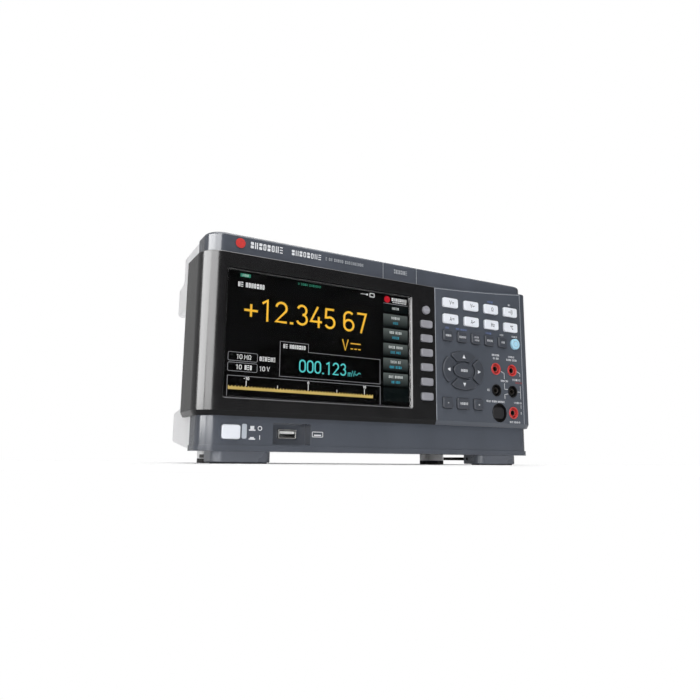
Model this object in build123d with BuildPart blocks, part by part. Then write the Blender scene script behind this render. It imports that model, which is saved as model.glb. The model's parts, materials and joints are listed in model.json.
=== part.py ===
from build123d import *
from math import asin, atan2, cos, degrees, hypot, pi, radians, sin
import os

# A wide bench multimeter, in millimetres. X runs to the right seen from the front, Y into the
# instrument, Z up. The origin is on the floor, under the middle of the overall box. "Depth" below is
# the distance behind the front face of the display band, so Y = FRONT + depth.

# ------------------------------------------------------------------ driving dimensions
DEPTH = 139.0  # key faces to the ends of the rear connectors
KEY_STAND = 1.8  # how far the keys stand out of the band
FRONT = KEY_STAND - DEPTH / 2  # Y of the band's front face
REAR_TIP = DEPTH - KEY_STAND  # depth of the rearmost connector
JACK_PITCH = 19.05  # spacing of 4 mm jacks
FIT = 0.3  # general gap between a part and its opening
TOUCH = 0.1  # overlap or clearance too small to see
FAR = 400.0  # longer than anything, for cuts
SHARP = 0.2  # smallest corner radius

# front frame: title strip above, lower strip below, walls behind the band
FRAME_HALF = 151.5
FRAME_FACE = 3.5
FRAME_BACK = 29.0
FRAME_BOTTOM = 8.5
FRAME_TOP = 165.0
FRAME_RADIUS = 13.0
FRAME_WALL = 2.5
FRAME_RIM = 2.4
LIP_HEIGHT = 4.0
LIP_STAND = 0.7
WINDOW_LEFT = -145.0
WINDOW_RIGHT = 146.0
WINDOW_BOTTOM = 34.6
WINDOW_TOP = 146.0
WINDOW_RADIUS = 3.0

# band: wraps the whole front and both ends
BAND_HALF = 155.5
BAND_BACK = 42.0
BAND_BOTTOM = 32.6
BAND_TOP = 149.5
BAND_RADIUS = 15.0
BAND_WALL = 3.3
BAND_SIDE = 3.6
BAND_EDGE = 0.8
RISE_START = 42.0  # where the top edge starts to climb
RISE_MID = (98.0, 152.8)
RISE_END = 158.3  # height of the top edge at the right end
SKIRT = 3.4  # height of the bevel along the bottom edge
SKIRT_IN = 1.6

SEAM = 43.7  # X of the joint between the display moulding and the keypad moulding
SEAM_GAP = 0.12

# display
LENS_LEFT = -137.1
LENS_RIGHT = 19.7
LENS_BOTTOM = 45.3
LENS_TOP = 137.7
LENS_RADIUS = 1.0
LENS_SINK = 1.4
LENS_BEVEL = 0.8
LENS_THICK = 1.2
LENS_LEDGE = 1.0
MODULE_WIDTH = 164.0
MODULE_HEIGHT = 99.0
MODULE_FACE = 3.4
MODULE_THICK = 6.0
MODULE_BOSS = 1.2

# keys: a cap, a flange that keeps the cap in its hole, and a stem that presses the mat
KEY_GAP = 0.35
KEY_ROUND = 0.6
FLANGE_GAP = 0.2
FLANGE_FACE = BAND_WALL + FLANGE_GAP
FLANGE_LIP = 0.6
FLANGE_THICK = 1.1
STEM_INSET = 1.4
STEM_LENGTH = 1.4
KEY_TRAVEL = 1.0
DOME_FACE = FLANGE_FACE + FLANGE_THICK + STEM_LENGTH + KEY_TRAVEL + 0.3
MAT_FACE = 9.9
MAT_THICK = 1.5
MAT_AREA = (26.0, 142.0, 36.0, 145.0, 2.0)
MAT_JACK_GAP = 1.0
BOARD_FACE = MAT_FACE + MAT_THICK + 0.2
BOARD_THICK = 1.6
FRONT_BOARD_AREA = (-143.0, 144.0, 35.5, 146.0, 2.0)
BOARD_JACK_GAP = 0.6
PROCESSOR = (-60.0, 90.0, 24.0, 24.0, 0.5)
DRIVER_CHIPS = ((0.0, 110.0), (0.0, 80.0), (60.0, 110.0))
DRIVER_CHIP = (14.0, 10.0, 0.5)
CHIP_HEIGHT = 1.5

SOFTKEY_X = 34.5
SOFTKEY_TOP = 115.6
SOFTKEY_PITCH = 12.13
SOFTKEY_SIZE = (11.3, 6.2, 1.5)
BACK_KEY = (34.4, 127.7)
BACK_KEY_DIAMETER = 7.0
FUNCTION_LEFT = 59.9
FUNCTION_PITCH = 22.83
FUNCTION_ROWS = (137.3, 123.1)
FUNCTION_SIZE = (15.8, 8.3, 1.6)
MENU_LEFT = 56.6
MENU_PITCH = 15.35
MENU_Z = 108.3
MENU_SIZE = (9.8, 9.0, 1.5)
SHIFT_DIAMETER = 9.8
NAV = (72.8, 79.3)
NAV_SEMI = (22.0, 16.6)
NAV_INNER = (12.6, 8.2)
NAV_BRIDGE = 3.0
NAV_DIAGONAL = 38.0
NAV_ROUND = 1.6
ENTER_SEMI = (10.7, 6.3)
RANGE_Z = 51.0
RANGE_KEYS = {
    "range_down_key": (55.3, 10.0),
    "auto_range_key": (71.8, 13.0),
    "range_up_key": (88.3, 10.0),
}
RANGE_HEIGHT = 9.0
RANGE_RADIUS = 1.5

FUNCTION_NAMES = (
    ("dc_voltage_key", "ac_voltage_key", "resistance_key", "continuity_key"),
    ("dc_current_key", "ac_current_key", "frequency_key", "temperature_key"),
)
MENU_NAMES = ("utility_key", "hold_key", "display_key", "trigger_key", "acquire_key")

# 4 mm safety jacks
JACK_LEFT = 110.0
JACK_TOP = 83.9
JACK_RIGHT = JACK_LEFT + JACK_PITCH
FRONT_RED = (
    (JACK_LEFT, JACK_TOP),
    (JACK_RIGHT, JACK_TOP),
    (JACK_RIGHT, JACK_TOP - 2 * JACK_PITCH),
)
FRONT_BLACK = ((JACK_LEFT, JACK_TOP - JACK_PITCH), (JACK_RIGHT, JACK_TOP - JACK_PITCH))
REAR_JACK_LEFT = 60.0
REAR_JACK_TOP = 122.0
REAR_RED = (
    (REAR_JACK_LEFT, REAR_JACK_TOP),
    (REAR_JACK_LEFT + JACK_PITCH, REAR_JACK_TOP),
    (REAR_JACK_LEFT + 2 * JACK_PITCH, REAR_JACK_TOP - JACK_PITCH),
)
REAR_BLACK = (
    (REAR_JACK_LEFT, REAR_JACK_TOP - JACK_PITCH),
    (REAR_JACK_LEFT + JACK_PITCH, REAR_JACK_TOP - JACK_PITCH),
)
JACK_RADIUS = 5.2
JACK_HOLE = JACK_RADIUS + 0.2
JACK_PROUD = 0.4
JACK_LENGTH = 26.0
JACK_SLOT = (3.1, 4.5)
JACK_CORE_SINK = 1.4
JACK_SLOT_DEPTH = 12.0
JACK_CORE = 2.55
PLUG_RADIUS = 2.0
SLEEVE_WALL = 0.5
SLEEVE_SINK = 1.6
SLEEVE_LENGTH = 28.0
REAR_MOUTH = REAR_TIP - 4.2

# terminal select button, in a round cup
SELECT = (112.8, 45.2)
CUP_RADIUS = 8.4
CUP_OUTER = 9.8
CUP_FLOOR = 4.4
CUP_BACK = 6.0
SELECT_CAP = (12.6, 10.2, 3.2)
SELECT_FACE = 1.2
SELECT_TRAVEL = 2.5
SELECT_SWITCH = (8.0, 8.0, 0.5)
SELECT_SWITCH_HEIGHT = 1.2

# power button, light guide and front socket in the lower strip
POWER = (-129.7, 21.6)
POWER_CAP = (13.2, 9.8, 1.6)
POWER_STAND = 1.5
POWER_CAP_BACK = FRAME_FACE + FRAME_WALL + 1.0
POWER_TRAVEL = 2.5
POWER_ROD = 4.0
POWER_ROD_BACK = 38.5
POWER_ROD_RISE = 4.0
POWER_ROD_LAP = 1.0
POWER_SWITCH = (-114.0, 48.2, 12.0, 14.0, 10.0)
LIGHT = (-119.9, 22.3)
LIGHT_SIZE = (3.8, 10.4, 1.2)
LIGHT_LENGTH = 6.5
LIGHT_LIP = 0.5
LIGHT_LIP_THICK = 1.0
USB = (-83.6, 21.6)
USB_SHELL = (14.0, 6.5, 0.3)
USB_LENGTH = 14.0
USB_PROUD = 1.5
USB_WALL = 0.5
USB_END = 1.5
USB_TONGUE = (11.8, 1.9, 0.3)
USB_TONGUE_UP = 1.1
USB_TONGUE_SINK = 0.8
RECESS = (-83.5, 21.2)
RECESS_SIZE = (29.8, 15.4)
RECESS_RADIUS = 1.0
RECESS_DEPTH = 10.0
RECESS_WALL = 1.5

# rear housing: an inner body with a hand grip cheek on each side
BODY_HALF = 128.0
BODY_BOTTOM = 11.0
BODY_TOP = 160.5
BODY_BACK = 128.0
BODY_RADIUS = 6.0
BODY_EDGE = 4.0
SHELL = 2.6
HOUSING_FRONT = FRAME_BACK + FIT
THROAT = (12.4, 160.4)  # bottom and top of the passage that joins the cheeks to the body
CHEEK_EDGE = 2.4
CHEEK_CORNER = 3.0
CHEEK_SIDE = (  # depth and Z round the side view: lower cheek, finger recess, upper grip
    (HOUSING_FRONT, 9.2),
    (80.0, 15.6),
    (80.0, 38.5),
    (61.0, 41.0),
    (61.0, 115.5),
    (84.0, 115.5),
    (84.0, 138.5),
    (70.0, 141.5),
    (70.0, 161.6),
    (HOUSING_FRONT, 163.4),
)
VENT_PITCH = 14.0
VENT_WIDTH = 4.0
TOP_VENTS = (14, 30.0, 100.0)  # how many, how long, and the depth of their middles
BOTTOM_VENTS = (11, 26.0, 62.0)
REAR_OPENING = (222.0, 118.0, 4.0)
REAR_OPENING_Z = 80.0

# chassis: bent sheet, floor and back wall
SHEET = 1.2
CHASSIS_HALF = 124.0
CHASSIS_FLOOR = 15.0
CHASSIS_TOP = 150.0
CHASSIS_FRONT = 42.0
CHASSIS_BACK = 125.0
SIDE_WALL_TOP = 60.0
STANDOFF = 4.0
STANDOFF_RADIUS = 3.2
MAIN_BOARD_Z = CHASSIS_FLOOR + SHEET + STANDOFF
MAIN_BOARD_SIZE = (236.0, 74.0, 2.0)
BLOCK_RADIUS = 0.8
MAIN_BOARD_DEPTH = 82.0
MAIN_BOARD_BLOCKS = (  # X, depth, size across, size in depth and height of each large component
    POWER_SWITCH,
    (-40.0, 60.0, 44.0, 26.0, 12.0),
    (30.0, 70.0, 20.0, 20.0, 3.0),
    (70.0, 70.0, 24.0, 24.0, 3.0),
    (96.0, 60.0, 18.0, 14.0, 9.0),
)
CANS = ((-42.0, 92.0), (-24.0, 92.0), (-6.0, 92.0))
CAN_RADIUS = 7.0
CAN_HEIGHT = 24.0
TRANSFORMER = (-88.0, 68.0)
CORE_BLOCK = (34.0, 40.0, 1.0)
CORE_HEIGHT = 46.0
BOBBIN = (42.0, 28.0, 8.0)
BOBBIN_LIFT = 9.0
BOBBIN_HEIGHT = 28.0
BOARD_SCREWS = [(x, depth) for x in (-112.0, 0.0, 112.0) for depth in (66.0, 114.0)]
CASE_SCREWS = [(x, z) for x in (-119.0, 119.0) for z in (22.0, 144.0)]
CASE_SCREW = 2.0
CASE_SCREW_HEAD = 3.8
CASE_SCREW_RISE = 2.4
CASE_SCREW_LENGTH = 9.0
CASE_SCREW_CROSS = (4.4, 0.9, 1.2)
BOARD_SCREW = 1.5
BOARD_SCREW_HEAD = 2.8
BOARD_SCREW_RISE = 1.8
BOARD_SCREW_CROSS = (3.2, 0.7, 0.9)
THREAD_GAP = 0.02
CABLE_WIDTH = 32.0
CABLE_THICK = 0.8
CABLE_TOP = 64.0
CABLE_DROP = 54.0
CABLE_BEND = 12.0
CABLE_GAP = 0.1

# rear connectors, all on the chassis back wall
INLET = (-84.0, 52.0)
INLET_FACE = (50.0, 36.0, 4.0)
INLET_FLANGE = 3.0
INLET_BODY = (28.0, 20.0, 3.0)
INLET_LENGTH = 22.0
INLET_WALL = 1.5
INLET_CAVITY = 19.0
INLET_PIN = (2.0, 4.0)
INLET_PINS = ((-7.0, -1.5), (0.0, 2.0), (7.0, -1.5))
INLET_PIN_LENGTH = 17.0
SOCKET_PROUD = 1.0
SOCKET_END = 5.0
SOCKET_TONGUE_SINK = 2.0
LAN = (74.0, 30.0)
LAN_SIZE = (16.0, 13.6, 22.0)
LAN_MOUTH = (12.0, 9.0)
USB_DEVICE = (46.0, 28.8)
USB_DEVICE_SIZE = (12.0, 11.0, 17.0)
USB_DEVICE_MOUTH = (9.0, 8.0)
BNC = ((62.0, 70.0), (88.0, 70.0))
BNC_RADIUS = 4.85
BNC_BORE = 4.1
BNC_INSULATOR = 2.4
BNC_PIN_BORE = 0.7
BNC_DEEP = (9.0, 6.0)  # depths of the ring-shaped bore and of the pin's bore
BNC_NUT = (8.2, 2.0)
BNC_INSIDE = 14.0
BNC_LUG = (11.7, 2.0)
BNC_LUG_BACK = 3.0
FAN = (-5.0, 102.0)
FAN_SIZE = 60.0
FAN_THICK = 15.0
FAN_DUCT = 28.6
FAN_HUB = 12.0
FAN_CORNER = 3.0
FAN_MOUNTS = 50.0
FAN_MOUNT_HOLE = 2.0
FAN_BACK = CHASSIS_BACK - SHEET - FIT
FAN_STRUT = (59.2, 3.0)
FAN_SPIDER = 2.5
FAN_BEARING = 1.8
FAN_SHAFT = 1.5
SHAFT_CLEARANCE = 0.05
ROTOR_SINK = 1.0
ROTOR_HUB = 10.5
ROTOR_EDGE = 1.2
BLADES = 7
BLADE_GAP = 0.9
BLADE = (10.5, 1.2)
BLADE_PITCH = 38
FAN_SLOTS = (8, 6.4, 46.0, 3.4)  # how many, pitch, length and width of the slots in the back wall

# feet and tilt legs
FOOT_INNER = 96.0
FOOT_OUTER = 140.0
FOOT_FRONT = 8.0
FOOT_BACK = 30.0
FOOT_RADIUS = 8.0
FOOT_EDGE = 0.8
PAD = 0.8
PAD_INSET = 2.0
PAD_RADIUS = 6.0
REAR_FOOT = (102.0, 124.0, 94.0, 108.0)
REAR_FOOT_RADIUS = 3.0
REAR_PAD = 3.5
LEG_PIVOT = (26.0, 5.2)
LEG_PIN = 1.5
LEG_BARREL = 2.2
LEG_INNER = 98.5
LEG_OUTER = 136.0
LEG_TIP = 58.0
LEG_THICK = 2.6
LEG_CORNER = 2.5
LEG_PIN_REACH = 1.8
LEG_TAB = 5.0
TAB_LAP = 1.0
TAB_START = FOOT_BACK + 3.0
NOTCH_FRONT = 23.0
NOTCH_LAP = 2.0
NOTCH_ROOF = 0.6


# ------------------------------------------------------------------ helpers
def face_plane(depth):
    """Plane across the instrument at a depth, facing the user; sketch x is X and sketch y is Z."""
    return Plane.XZ.offset(-(FRONT + depth))


def floor_plane(height):
    """Horizontal plane at a height, its sketch origin at the band's front face."""
    return Plane((0, FRONT, height))


def side_plane():
    """The plane X = 0; sketch x is the depth and sketch y is Z."""
    return Plane(origin=(0, FRONT, 0), x_dir=(0, 1, 0), z_dir=(1, 0, 0))


def save(name, built):
    built.part.label = name
    export_step(built.part, f"parts/{name}.step")


def rounded(x, z, width, height, radius, grow=0.0):
    """Rounded rectangle about a centre, grown or shrunk on every side."""
    with BuildSketch() as outline:
        with Locations((x, z)):
            RectangleRounded(width + 2 * grow, height + 2 * grow, max(radius + grow, SHARP))
    return outline.sketch


def span(left, right, bottom, top, radius, grow=0.0):
    return rounded((left + right) / 2, (bottom + top) / 2, right - left, top - bottom, radius, grow)


def disc(x, z, radius):
    with BuildSketch() as outline:
        with Locations((x, z)):
            Circle(radius)
    return outline.sketch


def plan(half, face, back, radius):
    """Outline seen from above: straight back edge, rounded front corners. Sketch y is the depth."""
    with BuildSketch() as outline:
        with BuildLine():
            Polyline((-half, back), (-half, face), (half, face), (half, back), close=True)
        make_face()
        fillet(outline.vertices().group_by(Axis.Y)[0], radius)
    return outline.sketch


# ------------------------------------------------------------------ key outlines
def block_keys():
    """Centre, size and corner radius of every rectangular key."""
    keys = {}
    for index in range(6):
        z = SOFTKEY_TOP - index * SOFTKEY_PITCH
        keys[f"softkey_{index + 1}"] = (SOFTKEY_X, z, *SOFTKEY_SIZE)
    for z, names in zip(FUNCTION_ROWS, FUNCTION_NAMES):
        for column, name in enumerate(names):
            keys[name] = (FUNCTION_LEFT + column * FUNCTION_PITCH, z, *FUNCTION_SIZE)
    for column, name in enumerate(MENU_NAMES):
        keys[name] = (MENU_LEFT + column * MENU_PITCH, MENU_Z, *MENU_SIZE)
    for name, (x, width) in RANGE_KEYS.items():
        keys[name] = (x, RANGE_Z, width, RANGE_HEIGHT, RANGE_RADIUS)
    return keys


def oval_point(semi, angle):
    return (NAV[0] + semi[0] * cos(angle), NAV[1] + semi[1] * sin(angle))


def half_sweep(semi, upright, half_bridge):
    """Half the angle that a sector covers on one oval, up to the edge of its diagonal bridges."""
    across = semi[0] * sin(radians(NAV_DIAGONAL))
    along = semi[1] * cos(radians(NAV_DIAGONAL))
    shift = asin(half_bridge / hypot(across, along))
    diagonal = atan2(across, along)
    return pi / 2 - diagonal - shift if upright else diagonal - shift


def nav_sector(centre, grow):
    """One sector of an oval ring that two diagonal bridges split into four."""
    upright = centre % pi > 1
    half_bridge = NAV_BRIDGE / 2 - grow
    outer = [semi + grow for semi in NAV_SEMI]
    inner = [semi - grow for semi in NAV_INNER]
    wide = half_sweep(outer, upright, half_bridge)
    narrow = half_sweep(inner, upright, half_bridge)
    near = [oval_point(inner, centre + turn * narrow) for turn in (-1, 0, 1)]
    far = [oval_point(outer, centre + turn * wide) for turn in (1, 0, -1)]
    with BuildSketch() as sector:
        with BuildLine():
            ThreePointArc(*near)
            Line(near[-1], far[0])
            ThreePointArc(*far)
            Line(far[-1], near[0])
        make_face()
        fillet(sector.vertices(), NAV_ROUND + grow)
    return sector.sketch


def key_outline(name, grow=0.0):
    """Front view of a key, grown or shrunk on every side."""
    if name in NAV_SIDES:
        return nav_sector(NAV_SIDES[name], grow)
    if name == "enter_key":
        with BuildSketch() as oval:
            with Locations(NAV):
                Ellipse(ENTER_SEMI[0] + grow, ENTER_SEMI[1] + grow)
        return oval.sketch
    if name in ROUND_KEYS:
        x, z, diameter = ROUND_KEYS[name]
        return disc(x, z, diameter / 2 + grow)
    return rounded(*BLOCK_KEYS[name], grow)


NAV_SIDES = {
    "nav_right_key": 0.0,
    "nav_up_key": 0.5 * pi,
    "nav_left_key": pi,
    "nav_down_key": 1.5 * pi,
}
ROUND_KEYS = {
    "back_key": (*BACK_KEY, BACK_KEY_DIAMETER),
    "shift_key": (MENU_LEFT + len(MENU_NAMES) * MENU_PITCH, MENU_Z, SHIFT_DIAMETER),
}
BLOCK_KEYS = block_keys()
KEYS = [*BLOCK_KEYS, *ROUND_KEYS, *NAV_SIDES, "enter_key"]
PANEL_KEYS = [name for name in KEYS if name != "back_key" and "softkey" not in name]
FRONT_JACKS = FRONT_RED + FRONT_BLACK
REAR_JACKS = REAR_RED + REAR_BLACK


# ------------------------------------------------------------------ front
def build_front_frame():
    """Hollow slate moulding, open behind, with one big window that the band covers."""
    with BuildPart() as frame:
        with BuildSketch(floor_plane(FRAME_BOTTOM)):
            add(plan(FRAME_HALF, FRAME_FACE, FRAME_BACK, FRAME_RADIUS))
        extrude(amount=FRAME_TOP - FRAME_BOTTOM)
        rim = frame.edges().group_by(Axis.Z)[-1].group_by(Axis.Y)[:-1]
        fillet([edge for group in rim for edge in group], FRAME_RIM)
        with BuildSketch(floor_plane(FRAME_BOTTOM)):
            add(plan(FRAME_HALF + LIP_STAND, FRAME_FACE - LIP_STAND, FRAME_BACK, FRAME_RADIUS))
        extrude(amount=LIP_HEIGHT)
        inner = plan(FRAME_HALF - FRAME_WALL, FRAME_FACE + FRAME_WALL, FAR, FRAME_RADIUS - FRAME_WALL)
        with BuildSketch(floor_plane(FRAME_BOTTOM + FRAME_WALL)):
            add(inner)
        extrude(amount=FRAME_TOP - FRAME_BOTTOM - 2 * FRAME_WALL, mode=Mode.SUBTRACT)
        with BuildSketch(face_plane(FRAME_FACE)):
            add(rounded(*RECESS, *RECESS_SIZE, RECESS_RADIUS, RECESS_WALL))
        extrude(amount=-(RECESS_DEPTH + RECESS_WALL))
        with BuildSketch(face_plane(0)):
            add(rounded(*RECESS, *RECESS_SIZE, RECESS_RADIUS))
        extrude(amount=-(FRAME_FACE + RECESS_DEPTH), mode=Mode.SUBTRACT)
        with BuildSketch(face_plane(0)):
            add(span(WINDOW_LEFT, WINDOW_RIGHT, WINDOW_BOTTOM, WINDOW_TOP, WINDOW_RADIUS))
        extrude(amount=-MAT_FACE, mode=Mode.SUBTRACT)
        with BuildSketch(face_plane(0)):
            add(rounded(*POWER, *POWER_CAP, KEY_GAP))
            add(rounded(*LIGHT, *LIGHT_SIZE))
        extrude(amount=-MAT_FACE, mode=Mode.SUBTRACT)
        with BuildSketch(face_plane(0)):
            add(rounded(*USB, *USB_SHELL, FIT))
        extrude(amount=-(FRAME_FACE + RECESS_DEPTH + 2 * RECESS_WALL), mode=Mode.SUBTRACT)
    save("front_frame", frame)


def band_outline():
    """Front view of the band: level top edge on the left, climbing in an arc to the right end."""
    start = (RISE_START, BAND_TOP)
    end = (BAND_HALF, RISE_END)
    with BuildSketch() as outline:
        with BuildLine():
            Polyline(start, (-FAR / 2, BAND_TOP), (-FAR / 2, 0), (BAND_HALF, 0), end)
            ThreePointArc(end, RISE_MID, start)
        make_face()
    return outline.sketch


def key_holes(names):
    with BuildSketch() as holes:
        for name in names:
            add(key_outline(name, KEY_GAP))
    return holes.sketch


def band_shell():
    """C-shaped band, bevelled along its bottom edge, before it is divided into its two mouldings."""
    with BuildPart() as band:
        with BuildSketch(floor_plane(BAND_BOTTOM)):
            add(plan(BAND_HALF, 0, BAND_BACK, BAND_RADIUS))
        extrude(amount=RISE_END - BAND_BOTTOM)
        skirt = band.edges().group_by(Axis.Z)[0].group_by(Axis.Y)[:-1]
        bottom = band.faces().sort_by(Axis.Z)[0]
        chamfer([edge for group in skirt for edge in group], SKIRT_IN, SKIRT, reference=bottom)
        with BuildSketch(face_plane(-1)):
            add(band_outline())
        extrude(amount=-FAR, mode=Mode.INTERSECT)
        top = band.edges().filter_by(lambda e: e.center().Z > BAND_TOP - TOUCH)
        fillet(top.filter_by(lambda e: e.center().Y < FRONT + BAND_BACK - 1), BAND_EDGE)
        with BuildSketch(floor_plane(0)):
            add(plan(BAND_HALF - BAND_SIDE, BAND_WALL, FAR, BAND_RADIUS - BAND_SIDE))
        extrude(amount=FAR, mode=Mode.SUBTRACT)
    return band.part


def build_display_bezel(band):
    """Left moulding of the band, with the bevelled display window and the softkey holes."""
    with BuildPart() as bezel:
        add(band)
        split(bisect_by=Plane.YZ.offset(SEAM - SEAM_GAP / 2), keep=Keep.BOTTOM)
        with BuildSketch(face_plane(0)):
            add(key_holes(name for name in KEYS if name not in PANEL_KEYS))
        extrude(amount=-FAR / 4, mode=Mode.SUBTRACT)
        with BuildSketch(face_plane(0)):
            add(span(LENS_LEFT, LENS_RIGHT, LENS_BOTTOM, LENS_TOP, LENS_RADIUS, LENS_BEVEL))
        extrude(amount=-LENS_SINK, taper=degrees(atan2(LENS_BEVEL, LENS_SINK)), mode=Mode.SUBTRACT)
        with BuildSketch(face_plane(0)):
            add(span(LENS_LEFT, LENS_RIGHT, LENS_BOTTOM, LENS_TOP, LENS_RADIUS))
        extrude(amount=-(LENS_SINK + LENS_THICK), mode=Mode.SUBTRACT)
        with BuildSketch(face_plane(0)):
            add(span(LENS_LEFT, LENS_RIGHT, LENS_BOTTOM, LENS_TOP, LENS_RADIUS, -LENS_LEDGE))
        extrude(amount=-BAND_WALL, mode=Mode.SUBTRACT)
    save("display_bezel", bezel)


def build_keypad_panel(band):
    """Right moulding of the band, with the key and jack holes and the cup for the select button."""
    with BuildPart() as panel:
        add(band)
        split(bisect_by=Plane.YZ.offset(SEAM + SEAM_GAP / 2), keep=Keep.TOP)
        with BuildSketch(face_plane(BAND_WALL - TOUCH)):
            add(disc(*SELECT, CUP_OUTER))
        extrude(amount=-(CUP_BACK - BAND_WALL + TOUCH))
        with BuildSketch(face_plane(0)):
            add(disc(*SELECT, CUP_RADIUS))
        extrude(amount=-CUP_FLOOR, mode=Mode.SUBTRACT)
        with BuildSketch(face_plane(0)):
            add(rounded(*SELECT, *SELECT_CAP, KEY_GAP))
            add(key_holes(PANEL_KEYS))
            with Locations(*FRONT_JACKS):
                Circle(JACK_HOLE)
        extrude(amount=-FAR / 4, mode=Mode.SUBTRACT)
    save("keypad_panel", panel)


def build_display_lens():
    with BuildPart() as lens:
        with BuildSketch(face_plane(LENS_SINK)):
            add(span(LENS_LEFT, LENS_RIGHT, LENS_BOTTOM, LENS_TOP, LENS_RADIUS, -TOUCH))
        extrude(amount=-(LENS_THICK - TOUCH / 2))
    save("display_lens", lens)


def build_display_module():
    x = (LENS_LEFT + LENS_RIGHT) / 2
    z = (LENS_BOTTOM + LENS_TOP) / 2
    with BuildPart() as module:
        with BuildSketch(face_plane(MODULE_FACE)):
            add(rounded(x, z, MODULE_WIDTH, MODULE_HEIGHT, LENS_RADIUS))
        extrude(amount=-MODULE_THICK)
        with BuildSketch(face_plane(MODULE_FACE + MODULE_THICK)):
            with Locations((x, z)):
                Rectangle(MODULE_WIDTH / 2, MODULE_HEIGHT / 3)
        extrude(amount=-MODULE_BOSS)
    save("display_module", module)


# ------------------------------------------------------------------ keys
def build_key(name):
    """Cap, retaining flange and stem."""
    with BuildPart() as key:
        with BuildSketch(face_plane(-KEY_STAND)):
            add(key_outline(name))
        extrude(amount=-(KEY_STAND + FLANGE_FACE))
        fillet(key.faces().sort_by(Axis.Y)[0].edges(), KEY_ROUND)
        with BuildSketch(face_plane(FLANGE_FACE)):
            add(key_outline(name, FLANGE_LIP))
        extrude(amount=-FLANGE_THICK)
        with BuildSketch(face_plane(FLANGE_FACE + FLANGE_THICK)):
            add(key_outline(name, -STEM_INSET))
        extrude(amount=-STEM_LENGTH)
    save(name, key)


def build_power_button():
    """White cap with a pushrod that runs back and across to the switch on the main board."""
    x, z = POWER
    rod_low = z - POWER_ROD / 2
    with BuildPart() as button:
        with BuildSketch(face_plane(FRAME_FACE - POWER_STAND)):
            add(rounded(x, z, *POWER_CAP))
        extrude(amount=-(POWER_STAND + POWER_CAP_BACK - FRAME_FACE))
        fillet(button.faces().sort_by(Axis.Y)[0].edges(), KEY_ROUND)
        with BuildSketch(face_plane(FRAME_FACE + FRAME_WALL + FLANGE_GAP)):
            add(rounded(x, z, *POWER_CAP, FLANGE_LIP))
        extrude(amount=-FLANGE_THICK)
        with BuildSketch(face_plane(POWER_CAP_BACK)):
            with Locations((x, z)):
                Rectangle(POWER_ROD, POWER_ROD)
        extrude(amount=-(POWER_ROD_BACK - POWER_CAP_BACK))
        with BuildSketch(face_plane(POWER_ROD_BACK - POWER_ROD)):
            add(span(x - POWER_ROD / 2, POWER_SWITCH[0] - POWER_ROD_LAP, rod_low, z + POWER_ROD_RISE, SHARP))
        extrude(amount=-POWER_ROD)
    save("power_button", button)


def build_select_button():
    """Cap in the round cup, with a flange behind the cup's floor and a stem to its switch."""
    with BuildPart() as button:
        with BuildSketch(face_plane(SELECT_FACE)):
            add(rounded(*SELECT, *SELECT_CAP))
        extrude(amount=-(CUP_BACK + FLANGE_GAP - SELECT_FACE))
        fillet(button.faces().sort_by(Axis.Y)[0].edges(), KEY_ROUND)
        with BuildSketch(face_plane(CUP_BACK + FLANGE_GAP)):
            add(rounded(*SELECT, *SELECT_CAP, FLANGE_LIP))
        extrude(amount=-FLANGE_THICK)
    save("terminal_select_button", button)


def build_keypad_mat():
    """Silicone sheet with a raised dome behind every key."""
    with BuildPart() as mat:
        with BuildSketch(face_plane(MAT_FACE)):
            add(span(*MAT_AREA))
            with Locations(*FRONT_JACKS):
                Circle(JACK_RADIUS + MAT_JACK_GAP, mode=Mode.SUBTRACT)
            with Locations(SELECT):
                Circle(CUP_OUTER, mode=Mode.SUBTRACT)
        extrude(amount=-MAT_THICK)
        with BuildSketch(face_plane(DOME_FACE)):
            for name in KEYS:
                add(key_outline(name, -STEM_INSET))
        extrude(amount=-(MAT_FACE - DOME_FACE))
    save("keypad_mat", mat)


def build_front_board():
    """Circuit board behind the display and the mat, with the select switch on its face."""
    with BuildPart() as board:
        with BuildSketch(face_plane(BOARD_FACE)):
            add(span(*FRONT_BOARD_AREA))
            with Locations(*FRONT_JACKS):
                Circle(JACK_RADIUS + BOARD_JACK_GAP, mode=Mode.SUBTRACT)
        extrude(amount=-BOARD_THICK)
        with BuildSketch(face_plane(BOARD_FACE - SELECT_SWITCH_HEIGHT)):
            add(rounded(*SELECT, *SELECT_SWITCH))
        extrude(amount=-SELECT_SWITCH_HEIGHT)
        with BuildSketch(face_plane(BOARD_FACE + BOARD_THICK)):
            add(rounded(*PROCESSOR))
            for place in DRIVER_CHIPS:
                add(rounded(*place, *DRIVER_CHIP))
        extrude(amount=-CHIP_HEIGHT)
    save("front_board", board)


# ------------------------------------------------------------------ jacks
def jack_body(places, mouth, inward):
    """Shrouded 4 mm jack bodies: outer ring, annular slot, sunk core with a hole for the sleeve."""
    with BuildPart() as jack:
        with BuildSketch(face_plane(mouth)):
            with Locations(*places):
                Circle(JACK_RADIUS)
        extrude(amount=inward * JACK_LENGTH)
        with BuildSketch(face_plane(mouth)):
            with Locations(*places):
                Circle(JACK_SLOT[1])
        extrude(amount=inward * JACK_CORE_SINK, mode=Mode.SUBTRACT)
        with BuildSketch(face_plane(mouth)):
            with Locations(*places):
                Circle(JACK_SLOT[1])
                Circle(JACK_SLOT[0], mode=Mode.SUBTRACT)
        extrude(amount=inward * JACK_SLOT_DEPTH, mode=Mode.SUBTRACT)
        with BuildSketch(face_plane(mouth)):
            with Locations(*places):
                Circle(JACK_CORE)
        extrude(amount=inward * JACK_LENGTH, mode=Mode.SUBTRACT)
    return jack.part


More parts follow.
